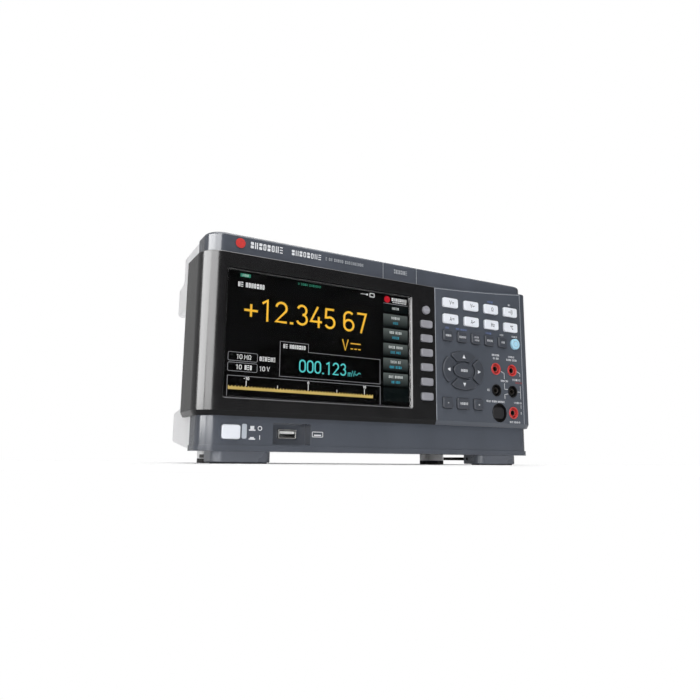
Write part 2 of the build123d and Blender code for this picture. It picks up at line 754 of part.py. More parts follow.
def sleeves(places, mouth, inward):
    with BuildPart() as sleeve:
        with BuildSketch(face_plane(mouth - inward * SLEEVE_SINK)):
            with Locations(*places):
                Circle(PLUG_RADIUS + SLEEVE_WALL)
                Circle(PLUG_RADIUS, mode=Mode.SUBTRACT)
        extrude(amount=inward * SLEEVE_LENGTH)
    return sleeve.part


def build_jacks():
    """Front and rear jacks share a node per colour, as groups of separate solids."""
    with BuildPart() as red:
        add(jack_body(FRONT_RED, -JACK_PROUD, -1))
        add(jack_body(REAR_RED, REAR_MOUTH, 1))
    save("red_jacks", red)
    with BuildPart() as black:
        add(jack_body(FRONT_BLACK, -JACK_PROUD, -1))
        add(jack_body(REAR_BLACK, REAR_MOUTH, 1))
    save("black_jacks", black)
    with BuildPart() as contacts:
        add(sleeves(FRONT_JACKS, -JACK_PROUD, -1))
        add(sleeves(REAR_JACKS, REAR_MOUTH, 1))
    save("jack_contacts", contacts)


# ------------------------------------------------------------------ lower strip
def build_usb_host_port():
    """Open metal shell with a contact tongue; its mouth is in the recess."""
    x, z = USB
    width, height, radius = USB_SHELL
    mouth = FRAME_FACE + RECESS_DEPTH - USB_PROUD
    with BuildPart() as port:
        with BuildSketch(face_plane(mouth)):
            add(rounded(x, z, width, height, radius))
        extrude(amount=-USB_LENGTH)
        with BuildSketch(face_plane(mouth)):
            add(rounded(x, z, width, height, radius, -USB_WALL))
        extrude(amount=-(USB_LENGTH - USB_END), mode=Mode.SUBTRACT)
        with BuildSketch(face_plane(mouth + USB_TONGUE_SINK)):
            add(rounded(x, z + USB_TONGUE_UP, *USB_TONGUE))
        extrude(amount=-(USB_LENGTH - USB_END))
    save("usb_host_port", port)


def build_power_light_pipe():
    with BuildPart() as pipe:
        with BuildSketch(face_plane(FRAME_FACE)):
            add(rounded(*LIGHT, *LIGHT_SIZE, -TOUCH))
        extrude(amount=-LIGHT_LENGTH)
        with BuildSketch(face_plane(FRAME_FACE + FRAME_WALL + TOUCH)):
            add(rounded(*LIGHT, *LIGHT_SIZE, LIGHT_LIP))
        extrude(amount=-LIGHT_LIP_THICK)
    save("power_light_pipe", pipe)


# ------------------------------------------------------------------ rear housing
def cheek_outline(inset):
    """Side view of the cheeks: upper grip with a finger hook, open recess, lower cheek."""
    with BuildSketch() as outline:
        with BuildLine():
            Polyline(*CHEEK_SIDE, close=True)
        make_face()
        rear = outline.vertices().filter_by(lambda v: v.X > HOUSING_FRONT + 1)
        fillet(rear, CHEEK_CORNER)
        if inset:
            offset(amount=-inset)
    return outline.sketch


def vent_row(count, length, depth):
    """Row of slots seen from above."""
    with BuildSketch() as row:
        with Locations((0, depth)):
            with GridLocations(VENT_PITCH, 0, count, 1):
                SlotOverall(length, VENT_WIDTH, rotation=90)
    return row.sketch


def rear_foot(side):
    inner, outer, near, back = REAR_FOOT
    middle = side * (inner + outer) / 2
    return rounded(middle, (near + back) / 2, outer - inner, back - near, REAR_FOOT_RADIUS)


def build_rear_housing():
    """Pale shell: hollow inner body, hollow cheeks, rear opening, vents and the rear feet's stems."""
    length = BODY_BACK - HOUSING_FRONT
    with BuildPart() as housing:
        with BuildSketch(side_plane()):
            add(cheek_outline(0))
        extrude(amount=FRAME_HALF, both=True)
        ends = housing.faces().filter_by(Axis.X)
        outer = [ends.sort_by(Axis.X)[0], ends.sort_by(Axis.X)[-1]]
        rims = [edge for face in outer for edge in face.edges()]
        fillet([edge for edge in rims if edge.center().Y > FRONT + HOUSING_FRONT + 1], CHEEK_EDGE)
        with BuildSketch(face_plane(HOUSING_FRONT)):
            add(span(-BODY_HALF, BODY_HALF, BODY_BOTTOM, BODY_TOP, BODY_RADIUS))
        extrude(amount=-length)
        fillet(housing.faces().sort_by(Axis.Y)[-1].edges(), BODY_EDGE)
        with BuildSketch(side_plane()):
            add(cheek_outline(SHELL))
            add(span(HOUSING_FRONT - SHELL, HOUSING_FRONT + 2 * SHELL, *THROAT, SHARP))
        extrude(amount=FRAME_HALF - SHELL, both=True, mode=Mode.SUBTRACT)
        with BuildSketch(face_plane(HOUSING_FRONT - SHELL)):
            add(span(-BODY_HALF, BODY_HALF, BODY_BOTTOM, BODY_TOP, BODY_RADIUS, -SHELL))
        extrude(amount=-length, mode=Mode.SUBTRACT)
        with BuildSketch(face_plane(BODY_BACK - 2 * SHELL)):
            add(rounded(0, REAR_OPENING_Z, *REAR_OPENING))
            with Locations(*CASE_SCREWS):
                Circle(CASE_SCREW + FLANGE_GAP)
        extrude(amount=-3 * SHELL, mode=Mode.SUBTRACT)
        for height, row in ((BODY_TOP - 2 * SHELL, TOP_VENTS), (BODY_BOTTOM - SHELL, BOTTOM_VENTS)):
            with BuildSketch(floor_plane(height)):
                add(vent_row(*row))
            extrude(amount=3 * SHELL, mode=Mode.SUBTRACT)
        with BuildSketch(floor_plane(REAR_PAD)):
            add(rear_foot(1))
            add(rear_foot(-1))
        extrude(amount=BODY_BOTTOM - REAR_PAD + SHARP)
    save("rear_housing", housing)


# ------------------------------------------------------------------ inside
def build_chassis():
    """Bent sheet: floor with standoffs, low side walls, and a back wall with the connector cut-outs."""
    with BuildPart() as chassis:
        with BuildSketch(floor_plane(CHASSIS_FLOOR)):
            add(span(-CHASSIS_HALF, CHASSIS_HALF, CHASSIS_FRONT, CHASSIS_BACK, SHEET / 2))
        extrude(amount=SHEET)
        with BuildSketch(floor_plane(CHASSIS_FLOOR)):
            for side in (1, -1):
                with Locations((side * (CHASSIS_HALF - SHEET / 2), (CHASSIS_FRONT + CHASSIS_BACK) / 2)):
                    Rectangle(SHEET, CHASSIS_BACK - CHASSIS_FRONT)
        extrude(amount=SIDE_WALL_TOP - CHASSIS_FLOOR)
        with BuildSketch(face_plane(CHASSIS_BACK - SHEET)):
            add(span(-CHASSIS_HALF, CHASSIS_HALF, CHASSIS_FLOOR, CHASSIS_TOP, SHEET))
        extrude(amount=-SHEET)
        with BuildSketch(floor_plane(CHASSIS_FLOOR)):
            with Locations(*BOARD_SCREWS):
                Circle(STANDOFF_RADIUS)
        extrude(amount=SHEET + STANDOFF)
        with BuildSketch(floor_plane(CHASSIS_FLOOR)):
            with Locations(*BOARD_SCREWS):
                Circle(BOARD_SCREW + THREAD_GAP)
        extrude(amount=SHEET + STANDOFF, mode=Mode.SUBTRACT)
        with BuildSketch(face_plane(CHASSIS_BACK - 2 * SHEET)):
            with Locations(*REAR_JACKS):
                Circle(JACK_HOLE)
            with Locations(*BNC):
                Circle(BNC_RADIUS + FIT / 2)
            with Locations(*CASE_SCREWS):
                Circle(CASE_SCREW + THREAD_GAP)
            add(rounded(*INLET, *INLET_BODY, FIT / 2))
            add(rounded(*LAN, *LAN_SIZE[:2], SHARP, FIT / 2))
            add(rounded(*USB_DEVICE, *USB_DEVICE_SIZE[:2], SHARP, FIT / 2))
            with Locations(FAN):
                with GridLocations(0, FAN_SLOTS[1], 1, FAN_SLOTS[0]):
                    SlotOverall(*FAN_SLOTS[2:])
        extrude(amount=-3 * SHEET, mode=Mode.SUBTRACT)
    save("chassis", chassis)


def build_main_board():
    """Horizontal board with its larger components and the power switch soldered on."""
    top = MAIN_BOARD_Z + BOARD_THICK
    with BuildPart() as board:
        with BuildSketch(floor_plane(MAIN_BOARD_Z)):
            add(rounded(0, MAIN_BOARD_DEPTH, *MAIN_BOARD_SIZE))
            with Locations(*BOARD_SCREWS):
                Circle(BOARD_SCREW + FLANGE_GAP, mode=Mode.SUBTRACT)
        extrude(amount=BOARD_THICK)
        for x, depth, size_x, size_y, height in MAIN_BOARD_BLOCKS:
            with BuildSketch(floor_plane(top)):
                add(rounded(x, depth, size_x, size_y, BLOCK_RADIUS))
            extrude(amount=height)
        with BuildSketch(floor_plane(top)):
            with Locations(*CANS):
                Circle(CAN_RADIUS)
        extrude(amount=CAN_HEIGHT)
    save("main_board", board)


def build_power_transformer():
    """Laminated core with a wound bobbin, standing on the main board."""
    top = MAIN_BOARD_Z + BOARD_THICK
    with BuildPart() as transformer:
        with BuildSketch(floor_plane(top)):
            add(rounded(*TRANSFORMER, *CORE_BLOCK))
        extrude(amount=CORE_HEIGHT)
        with BuildSketch(floor_plane(top + BOBBIN_LIFT)):
            add(rounded(*TRANSFORMER, *BOBBIN))
        extrude(amount=BOBBIN_HEIGHT)
    save("power_transformer", transformer)


def build_ribbon_cable():
    """Flat cable from the back of the front board down to the main board."""
    start = BOARD_FACE + BOARD_THICK + CABLE_GAP
    end = MAIN_BOARD_Z + BOARD_THICK + CABLE_GAP
    corners = ((start, CABLE_TOP), (CABLE_DROP, CABLE_TOP), (CABLE_DROP, end))
    with BuildPart() as cable:
        with BuildLine(side_plane()):
            route = FilletPolyline(*corners, radius=CABLE_BEND)
        with BuildSketch(Plane(origin=route @ 0, x_dir=(1, 0, 0), z_dir=route % 0)):
            Rectangle(CABLE_WIDTH, CABLE_THICK)
        sweep()
    save("ribbon_cable", cable)


# ------------------------------------------------------------------ rear connectors
def build_power_inlet():
    """Three-pin inlet: flange, body behind the wall, cavity with its pins."""
    face = CHASSIS_BACK + TOUCH / 2
    with BuildPart() as inlet:
        with BuildSketch(face_plane(face)):
            add(rounded(*INLET, *INLET_FACE))
        extrude(amount=-INLET_FLANGE)
        with BuildSketch(face_plane(face)):
            add(rounded(*INLET, *INLET_BODY))
        extrude(amount=INLET_LENGTH)
        with BuildSketch(face_plane(face + INLET_FLANGE)):
            add(rounded(*INLET, *INLET_BODY, -INLET_WALL))
        extrude(amount=INLET_CAVITY, mode=Mode.SUBTRACT)
        with BuildSketch(face_plane(face + INLET_FLANGE - INLET_CAVITY - TOUCH)):
            with Locations(INLET):
                with Locations(*INLET_PINS):
                    Rectangle(*INLET_PIN)
        extrude(amount=-INLET_PIN_LENGTH)
    save("power_inlet", inlet)


def build_socket(name, place, size, mouth_size):
    """Board-mounted socket that pokes out of the back wall, with a contact tongue in its mouth."""
    width, height, length = size
    mouth_width, mouth_height = mouth_size
    mouth = CHASSIS_BACK + SOCKET_PROUD
    cavity = length - SOCKET_END
    with BuildPart() as port:
        with BuildSketch(face_plane(mouth)):
            add(rounded(*place, width, height, SHARP))
        extrude(amount=length)
        with BuildSketch(face_plane(mouth)):
            add(rounded(*place, mouth_width, mouth_height, SHARP))
        extrude(amount=cavity, mode=Mode.SUBTRACT)
        with BuildSketch(face_plane(mouth - cavity - TOUCH)):
            add(rounded(place[0], place[1] - mouth_height / 8, mouth_width * 0.6, mouth_height * 0.3, SHARP))
        extrude(amount=-(cavity - SOCKET_TONGUE_SINK))
    save(name, port)


def build_bnc_connectors():
    """Barrels with bayonet lugs, a nut outside the wall and a body inside."""
    wall = CHASSIS_BACK + TOUCH / 2
    with BuildPart() as bnc:
        with BuildSketch(face_plane(wall)):
            with Locations(*BNC):
                RegularPolygon(BNC_NUT[0], 6)
        extrude(amount=-BNC_NUT[1])
        with BuildSketch(face_plane(REAR_TIP)):
            with Locations(*BNC):
                Circle(BNC_RADIUS)
        extrude(amount=REAR_TIP - wall + BNC_INSIDE)
        with BuildSketch(face_plane(REAR_TIP)):
            with Locations(*BNC):
                Circle(BNC_BORE)
                Circle(BNC_INSULATOR, mode=Mode.SUBTRACT)
        extrude(amount=BNC_DEEP[0], mode=Mode.SUBTRACT)
        with BuildSketch(face_plane(REAR_TIP)):
            with Locations(*BNC):
                Circle(BNC_PIN_BORE)
        extrude(amount=BNC_DEEP[1], mode=Mode.SUBTRACT)
        with BuildSketch(face_plane(REAR_TIP - BNC_LUG_BACK)):
            with Locations(*BNC):
                Rectangle(*BNC_LUG)
                Circle((BNC_RADIUS + BNC_BORE) / 2, mode=Mode.SUBTRACT)
        extrude(amount=BNC_LUG[1])
    save("bnc_connectors", bnc)


# ------------------------------------------------------------------ fan
def build_fan_frame():
    """Square frame with a round duct, four struts and a hub with the bearing."""
    with BuildPart() as frame:
        with BuildSketch(face_plane(FAN_BACK - FAN_THICK)):
            add(rounded(*FAN, FAN_SIZE, FAN_SIZE, FAN_CORNER))
            with Locations(FAN):
                Circle(FAN_DUCT, mode=Mode.SUBTRACT)
                with GridLocations(FAN_MOUNTS, FAN_MOUNTS, 2, 2):
                    Circle(FAN_MOUNT_HOLE, mode=Mode.SUBTRACT)
        extrude(amount=-FAN_THICK)
        with BuildSketch(face_plane(FAN_BACK - FAN_SPIDER)):
            with Locations(FAN):
                Circle(FAN_HUB)
                for angle in (45, 135):
                    Rectangle(*FAN_STRUT, rotation=angle)
        extrude(amount=-FAN_SPIDER)
        with BuildSketch(face_plane(FAN_BACK - FAN_SPIDER)):
            with Locations(FAN):
                Circle(FAN_SHAFT + SHAFT_CLEARANCE)
        extrude(amount=-FAN_BEARING, mode=Mode.SUBTRACT)
    save("fan_frame", frame)


def build_fan_rotor():
    """Hub, seven pitched blades and the shaft that runs in the frame's bearing."""
    front = FAN_BACK - FAN_THICK + ROTOR_SINK
    hub_back = front + ROTOR_HUB
    root = FAN_HUB - 1.0
    blade_length = FAN_DUCT - BLADE_GAP - root
    with BuildPart() as rotor:
        with BuildSketch(face_plane(front)):
            with Locations(FAN):
                Circle(FAN_HUB)
        extrude(amount=-ROTOR_HUB)
        fillet(rotor.faces().sort_by(Axis.Y)[0].edges(), ROTOR_EDGE)
        with BuildSketch(face_plane(hub_back)):
            with Locations(FAN):
                Circle(FAN_SHAFT)
        extrude(amount=-(FAN_BACK - 1.0 - hub_back))
        with Locations(face_plane(front + ROTOR_HUB / 2)):
            with Locations(FAN):
                with PolarLocations(root + blade_length / 2, BLADES):
                    Box(blade_length, *BLADE, rotation=(BLADE_PITCH, 0, 0))
    save("fan_rotor", rotor)


# ------------------------------------------------------------------ feet and legs
def build_front_feet():
    """D-shaped blocks under the frame, notched behind for the legs, with pin holes in the cheeks."""
    foot_half = (FOOT_OUTER - FOOT_INNER) / 2
    notch_half = (LEG_OUTER - LEG_INNER) / 2 + FIT
    with BuildPart() as feet:
        with BuildSketch(floor_plane(PAD)):
            with Locations(*foot_centres(FOOT_INNER, FOOT_OUTER)):
                add(plan(foot_half, FOOT_FRONT, FOOT_BACK, FOOT_RADIUS))
        extrude(amount=FRAME_BOTTOM - PAD)
        fillet(feet.edges().group_by(Axis.Z)[0].group_by(Axis.Y)[0], FOOT_EDGE)
        with BuildSketch(floor_plane(0)):
            with Locations(*foot_centres(LEG_INNER, LEG_OUTER)):
                add(span(-notch_half, notch_half, NOTCH_FRONT, FOOT_BACK + NOTCH_LAP, SHARP))
        extrude(amount=FRAME_BOTTOM - NOTCH_ROOF, mode=Mode.SUBTRACT)
        with BuildSketch(side_plane()):
            with Locations(LEG_PIVOT):
                Circle(LEG_PIN + SHAFT_CLEARANCE)
        extrude(amount=FOOT_OUTER - 2.0, both=True, mode=Mode.SUBTRACT)
    save("front_feet", feet)


def foot_centres(inner, outer):
    middle = (inner + outer) / 2
    return (middle, 0), (-middle, 0)


def build_foot_pads():
    """Rubber pads: D-shaped and inset under the front feet, rounded blocks under the rear stems."""
    pad_half = (FOOT_OUTER - FOOT_INNER) / 2 - PAD_INSET
    with BuildPart() as pads:
        with BuildSketch(floor_plane(0)):
            with Locations(*foot_centres(FOOT_INNER, FOOT_OUTER)):
                add(plan(pad_half, FOOT_FRONT + PAD_INSET, NOTCH_FRONT - 1, PAD_RADIUS))
        extrude(amount=PAD)
        with BuildSketch(floor_plane(0)):
            add(rear_foot(1))
            add(rear_foot(-1))
        extrude(amount=REAR_PAD)
    save("foot_pads", pads)


def build_tilt_leg(name, side):
    """Plate with a pin at each end of its barrel and a finger tab on the inner side."""
    pivot_depth, pivot_z = LEG_PIVOT
    middle = side * (LEG_INNER + LEG_OUTER) / 2
    half = (LEG_OUTER - LEG_INNER) / 2
    tab_middle = side * (LEG_INNER - LEG_TAB / 2 + TAB_LAP)
    tab_half = LEG_TAB / 2 + TAB_LAP
    with BuildPart() as leg:
        with BuildSketch(side_plane().offset(middle)):
            with Locations(LEG_PIVOT):
                Circle(LEG_BARREL)
        extrude(amount=half, both=True)
        with BuildSketch(side_plane().offset(middle)):
            with Locations(LEG_PIVOT):
                Circle(LEG_PIN)
        extrude(amount=half + LEG_PIN_REACH, both=True)
        with BuildSketch(floor_plane(pivot_z - LEG_THICK / 2)):
            with Locations((middle, (pivot_depth + LEG_TIP) / 2)):
                Rectangle(2 * half, LEG_TIP - pivot_depth)
            with Locations((tab_middle, (TAB_START + LEG_TIP) / 2)):
                Rectangle(2 * tab_half, LEG_TIP - TAB_START)
        extrude(amount=LEG_THICK)
        fillet(leg.edges().filter_by(Axis.Z).group_by(Axis.Y)[-1], LEG_CORNER)
    save(name, leg)


# ------------------------------------------------------------------ screws
def build_case_screws():
    """Pan-head screws through the housing's rear wall into the chassis."""
    face = BODY_BACK + TOUCH / 2
    length, width, depth = CASE_SCREW_CROSS
    with BuildPart() as screws:
        with BuildSketch(face_plane(face)):
            with Locations(*CASE_SCREWS):
                Circle(CASE_SCREW_HEAD)
        extrude(amount=-CASE_SCREW_RISE)
        with BuildSketch(face_plane(face)):
            with Locations(*CASE_SCREWS):
                Circle(CASE_SCREW)
        extrude(amount=CASE_SCREW_LENGTH)
        with BuildSketch(face_plane(face + CASE_SCREW_RISE)):
            with Locations(*CASE_SCREWS):
                Rectangle(length, width)
                Rectangle(width, length)
        extrude(amount=depth, mode=Mode.SUBTRACT)
    save("case_screws", screws)


def build_board_screws():
    top = MAIN_BOARD_Z + BOARD_THICK
    length, width, depth = BOARD_SCREW_CROSS
    with BuildPart() as screws:
        with BuildSketch(floor_plane(top)):
            with Locations(*BOARD_SCREWS):
                Circle(BOARD_SCREW_HEAD)
        extrude(amount=BOARD_SCREW_RISE)
        with BuildSketch(floor_plane(top)):
            with Locations(*BOARD_SCREWS):
                Circle(BOARD_SCREW)
        extrude(amount=-(BOARD_THICK + STANDOFF))
        with BuildSketch(floor_plane(top + BOARD_SCREW_RISE)):
            with Locations(*BOARD_SCREWS):
                Rectangle(length, width)
                Rectangle(width, length)
        extrude(amount=-depth, mode=Mode.SUBTRACT)
    save("board_screws", screws)


# ------------------------------------------------------------------ build everything
os.makedirs("parts", exist_ok=True)
build_front_frame()
front_band = band_shell()
build_display_bezel(front_band)
build_keypad_panel(front_band)
build_display_lens()
build_display_module()
for key_name in KEYS:
    build_key(key_name)
build_power_button()
build_select_button()
build_keypad_mat()
build_front_board()
build_jacks()
build_usb_host_port()
build_power_light_pipe()
build_rear_housing()
build_chassis()
build_main_board()
build_power_transformer()
build_ribbon_cable()
build_power_inlet()
build_socket("lan_port", LAN, LAN_SIZE, LAN_MOUTH)
build_socket("usb_device_port", USB_DEVICE, USB_DEVICE_SIZE, USB_DEVICE_MOUTH)
build_bnc_connectors()
build_fan_frame()
build_fan_rotor()
build_front_feet()
build_foot_pads()
build_tilt_leg("tilt_leg_right", 1)
build_tilt_leg("tilt_leg_left", -1)
build_case_screws()
build_board_screws()
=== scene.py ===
"""Bench multimeter: finishes, display image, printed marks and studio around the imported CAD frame."""

import json
import math
import random

import bmesh
import bpy
from mathutils import Matrix, Vector


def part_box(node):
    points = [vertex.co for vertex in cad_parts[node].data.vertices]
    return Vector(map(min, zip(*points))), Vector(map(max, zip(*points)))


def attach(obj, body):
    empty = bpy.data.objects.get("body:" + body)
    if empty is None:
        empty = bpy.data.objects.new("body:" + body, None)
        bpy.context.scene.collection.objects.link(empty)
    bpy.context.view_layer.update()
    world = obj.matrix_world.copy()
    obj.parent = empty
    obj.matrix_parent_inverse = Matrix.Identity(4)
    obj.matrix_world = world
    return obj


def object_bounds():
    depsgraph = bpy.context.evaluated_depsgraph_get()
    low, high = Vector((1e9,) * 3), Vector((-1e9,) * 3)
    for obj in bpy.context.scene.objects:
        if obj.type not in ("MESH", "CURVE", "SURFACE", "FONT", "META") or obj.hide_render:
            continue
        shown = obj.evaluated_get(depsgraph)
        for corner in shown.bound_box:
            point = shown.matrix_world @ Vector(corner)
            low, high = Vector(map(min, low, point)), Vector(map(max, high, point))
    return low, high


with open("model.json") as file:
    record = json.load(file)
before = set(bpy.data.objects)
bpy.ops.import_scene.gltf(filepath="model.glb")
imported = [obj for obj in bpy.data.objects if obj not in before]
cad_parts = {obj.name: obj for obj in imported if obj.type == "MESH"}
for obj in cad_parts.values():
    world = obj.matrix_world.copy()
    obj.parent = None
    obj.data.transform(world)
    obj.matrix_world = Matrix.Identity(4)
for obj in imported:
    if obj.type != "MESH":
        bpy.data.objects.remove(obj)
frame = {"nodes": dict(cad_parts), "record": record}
for stray in ("Cube", "Light", "Camera"):
    if stray in bpy.data.objects:
        bpy.data.objects.remove(bpy.data.objects[stray])
cad_low, cad_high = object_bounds()

MM = 0.001
BODY = "instrument"
JACKS = {mount["name"]: Vector(mount["pos_m"]) for mount in frame["record"]["mounts"]}
INK = 0.06 * MM  # thickness of a printed mark
INK_SINK = 0.02 * MM  # how far a mark is set into its surface


def srgb(red, green, blue):
    """Linear colour from display values of 0 to 255."""
    linear = []
    for value in (red, green, blue):
        share = value / 255
        linear.append(share / 12.92 if share <= 0.04045 else ((share + 0.055) / 1.055) ** 2.4)
    return (*linear, 1.0)


# ------------------------------------------------------------------ materials
class Tree:
    """A node tree, with short ways to add and join nodes."""

    def __init__(self, tree):
        self.tree = tree

    def node(self, kind, **values):
        """Adds a node; values name its settings, or its inputs where there is no such setting."""
        made = self.tree.nodes.new(kind)
        for key, value in values.items():
            if hasattr(made, key):
                setattr(made, key, value)
            else:
                self.set(made.inputs[key.replace("_", " ")], value)
        return made

    def set(self, socket, value):
        if isinstance(value, bpy.types.NodeSocket):
            self.tree.links.new(value, socket)
        else:
            socket.default_value = value

    def span(self, value, low, high, start=0.3, end=0.7):
        """Maps a texture value from start..end to low..high."""
        made = self.node("ShaderNodeMapRange", Value=value)
        for name, number in (("From Min", start), ("From Max", end), ("To Min", low), ("To Max", high)):
            made.inputs[name].default_value = number
        return made.outputs["Result"]

    def blend(self, share, first, second):
        """A colour between two others, first where share is 0 and second where it is 1."""
        made = self.node("ShaderNodeMix", data_type="RGBA")
        self.set(made.inputs["Factor"], share)
        self.set(made.inputs["A"], first)
        self.set(made.inputs["B"], second)
        return made.outputs["Result"]

    def maths(self, operation, first, second=0.0):
        made = self.node("ShaderNodeMath", operation=operation)
        self.set(made.inputs[0], first)
        self.set(made.inputs[1], second)
        return made.outputs[0]

    def within(self, value, low, high):
        """1 where a value lies between two limits, else 0."""
        above = self.maths("GREATER_THAN", value, low)
        return self.maths("MULTIPLY", above, self.maths("LESS_THAN", value, high))


class Surface(Tree):
    """One material's node tree."""

    def __init__(self, name):
        self.material = bpy.data.materials.new(name)
        self.material.use_nodes = True
        super().__init__(self.material.node_tree)
        self.shader = self.tree.nodes["Principled BSDF"]
        self.place = self.node("ShaderNodeTexCoord").outputs["Object"]

    def axes(self):
        """The object's own X, Y and Z at the shaded point."""
        parts = self.node("ShaderNodeSeparateXYZ", Vector=self.place)
        return [parts.outputs[axis] for axis in "XYZ"]

    def noise(self, size, detail=3.0, stretch=(1, 1, 1)):
        """Noise whose features are about size metres across; stretch squeezes it along an axis."""
        mapping = self.node("ShaderNodeMapping", Vector=self.place, Scale=stretch)
        made = self.node("ShaderNodeTexNoise", Scale=1 / size, Detail=detail, Vector=mapping.outputs[0])
        return made.outputs["Fac"]

    def edge(self, radius):
        """The rounded normal near edges, and a mask that is bright where an edge turns."""
        round_edge = self.node("ShaderNodeBevel", samples=6, Radius=radius)
        flat = self.node("ShaderNodeNewGeometry")
        turn = self.node("ShaderNodeVectorMath", operation="DOT_PRODUCT")
        self.set(turn.inputs[0], round_edge.outputs[0])
        self.set(turn.inputs[1], flat.outputs["Normal"])
        return round_edge.outputs[0], self.span(turn.outputs["Value"], 1.0, 0.0, 0.86, 0.995)

    def bump(self, height, depth, normal=None):
        made = self.node("ShaderNodeBump", Height=height, Distance=depth)
        if normal is not None:
            self.set(made.inputs["Normal"], normal)
        return made.outputs[0]

    def finish(self, **values):
        for key, value in values.items():
            self.set(self.shader.inputs[key.replace("_", " ")], value)
        return self.material


def moulded(
    name, colour, rough, grain=0.45 * MM, depth=0.02 * MM, wear=0.25, gloss=0.5, tint=0.10, coat=0.0,
    shade_pocket=None,
):
    """Injection-moulded plastic: fine spark texture, faint flow marks, rubbed edges.

    A pocket, if given, names the centre, radius and front of a round recess; its inside is painted near black
    as painted shade.
    """
    made = Surface(name)
    rounded, turning = made.edge(0.35 * MM)
    flow = made.noise(45 * MM, 4.0, (1, 1, 0.4))
    speck = made.noise(1.1 * MM, 2.0)
    darker = tuple(value * (1 - tint) for value in colour[:3]) + (1.0,)
    lighter = tuple(min(1.0, value * (1 + tint)) for value in colour[:3]) + (1.0,)
    base = made.blend(made.span(flow, 0.0, 1.0), darker, lighter)
    base = made.blend(made.span(speck, 0.0, 0.18), base, darker)
    rubbed = made.maths("MULTIPLY", turning, made.span(made.noise(3 * MM, 4.0), 0.0, wear, 0.35, 0.75))
    worn = tuple(min(1.0, value * 1.5 + 0.03) for value in colour[:3]) + (1.0,)
    base = made.blend(rubbed, base, worn)
    if shade_pocket:
        (x, z), radius, front = shade_pocket
        across, deep, up = made.axes()
        reach = made.maths("POWER", made.maths("SUBTRACT", across, x), 2.0)
        reach = made.maths("ADD", reach, made.maths("POWER", made.maths("SUBTRACT", up, z), 2.0))
        inside = made.maths("LESS_THAN", reach, radius ** 2)
        inside = made.maths("MULTIPLY", inside, made.maths("GREATER_THAN", deep, front))
        # painted shade: the inside of the round recess is made near black
        base = made.blend(inside, base, (0.008, 0.008, 0.009, 1))
    smear = made.span(made.noise(22 * MM, 5.0), rough - 0.05, rough + 0.06)
    relief = made.bump(made.noise(grain, 2.0), depth, rounded)
    return made.finish(
        Base_Color=base, Roughness=smear, Normal=relief, Specular_IOR_Level=gloss, Coat_Weight=coat,
        Coat_Roughness=0.12,
    )


def lacquered(name, colour, rough, coat, wear=0.1, shine=0.5, painted_top_light=0.0):
    """Polished moulding: nearly smooth, with faint handling marks in the shine and a slight orange peel.

    The last argument sets how far faces that look up are lightened towards pale grey, a painted highlight of
    the light from above; faces that look down lose their shine.
    """
    made = Surface(name)
    smudge = 0.03
    rounded, turning = made.edge(0.3 * MM)
    flow = made.noise(60 * MM, 3.0)
    lighter = tuple(value * 1.35 + 0.001 for value in colour[:3]) + (1.0,)
    base = made.blend(made.span(flow, 0.0, 1.0), colour, lighter)
    rubbed = made.maths("MULTIPLY", turning, made.span(made.noise(4 * MM, 4.0), 0.0, wear, 0.4, 0.8))
    base = made.blend(rubbed, base, (0.25, 0.25, 0.26, 1.0))
    facing = made.node("ShaderNodeSeparateXYZ")
    made.set(facing.inputs[0], made.node("ShaderNodeNewGeometry").outputs["Normal"])
    # painted highlight: faces that look up are lightened towards pale grey, as if lit from above
    base = made.blend(made.span(facing.outputs["Z"], 0.0, painted_top_light, 0.15, 0.6), base, (0.22, 0.22, 0.23, 1.0))
    under = made.span(facing.outputs["Z"], 0.06, 1.0, -0.5, -0.1)
    handled = made.span(made.noise(14 * MM, 6.0), rough - smudge, rough + smudge, 0.35, 0.7)
    relief = made.bump(made.noise(7 * MM, 2.0), 0.004 * MM, rounded)
    return made.finish(
        Base_Color=base, Roughness=handled, Normal=relief, Coat_Roughness=0.14,
        Coat_Weight=made.maths("MULTIPLY", under, coat),
        Specular_IOR_Level=made.maths("MULTIPLY", under, shine),
    )


def rubbery(name, colour):
    """Matt rubber with a coarse skin and dust in the hollows."""
    made = Surface(name)
    rounded, turning = made.edge(0.5 * MM)
    dust = made.span(made.noise(6 * MM, 6.0), 0.0, 0.22, 0.45, 0.8)
    base = made.blend(dust, colour, (0.30, 0.29, 0.27, 1.0))
    base = made.blend(made.maths("MULTIPLY", turning, 0.2), base, (0.2, 0.2, 0.2, 1.0))
    relief = made.bump(made.noise(0.9 * MM, 3.0), 0.06 * MM, rounded)
    return made.finish(Base_Color=base, Roughness=0.85, Normal=relief, Specular_IOR_Level=0.25)


def metal(name, colour, rough, brushed=(1, 1, 1)):
    """Bare or plated metal: brushing along one axis, slow tarnish and bright edges."""
    made = Surface(name)
    rounded, turning = made.edge(0.25 * MM)
    lines = made.noise(0.5 * MM, 3.0, brushed)
    tarnish = made.span(made.noise(18 * MM, 5.0), 0.0, 0.35, 0.4, 0.75)
    dull = tuple(value * 0.72 for value in colour[:3]) + (1.0,)
    base = made.blend(tarnish, colour, dull)
    bright = tuple(min(1.0, value * 1.2 + 0.05) for value in colour[:3]) + (1.0,)
    base = made.blend(made.maths("MULTIPLY", turning, 0.5), base, bright)
    shine = made.span(lines, rough - 0.06, rough + 0.12)
    relief = made.bump(lines, 0.004 * MM, rounded)
    return made.finish(Base_Color=base, Metallic=1.0, Roughness=shine, Normal=relief)


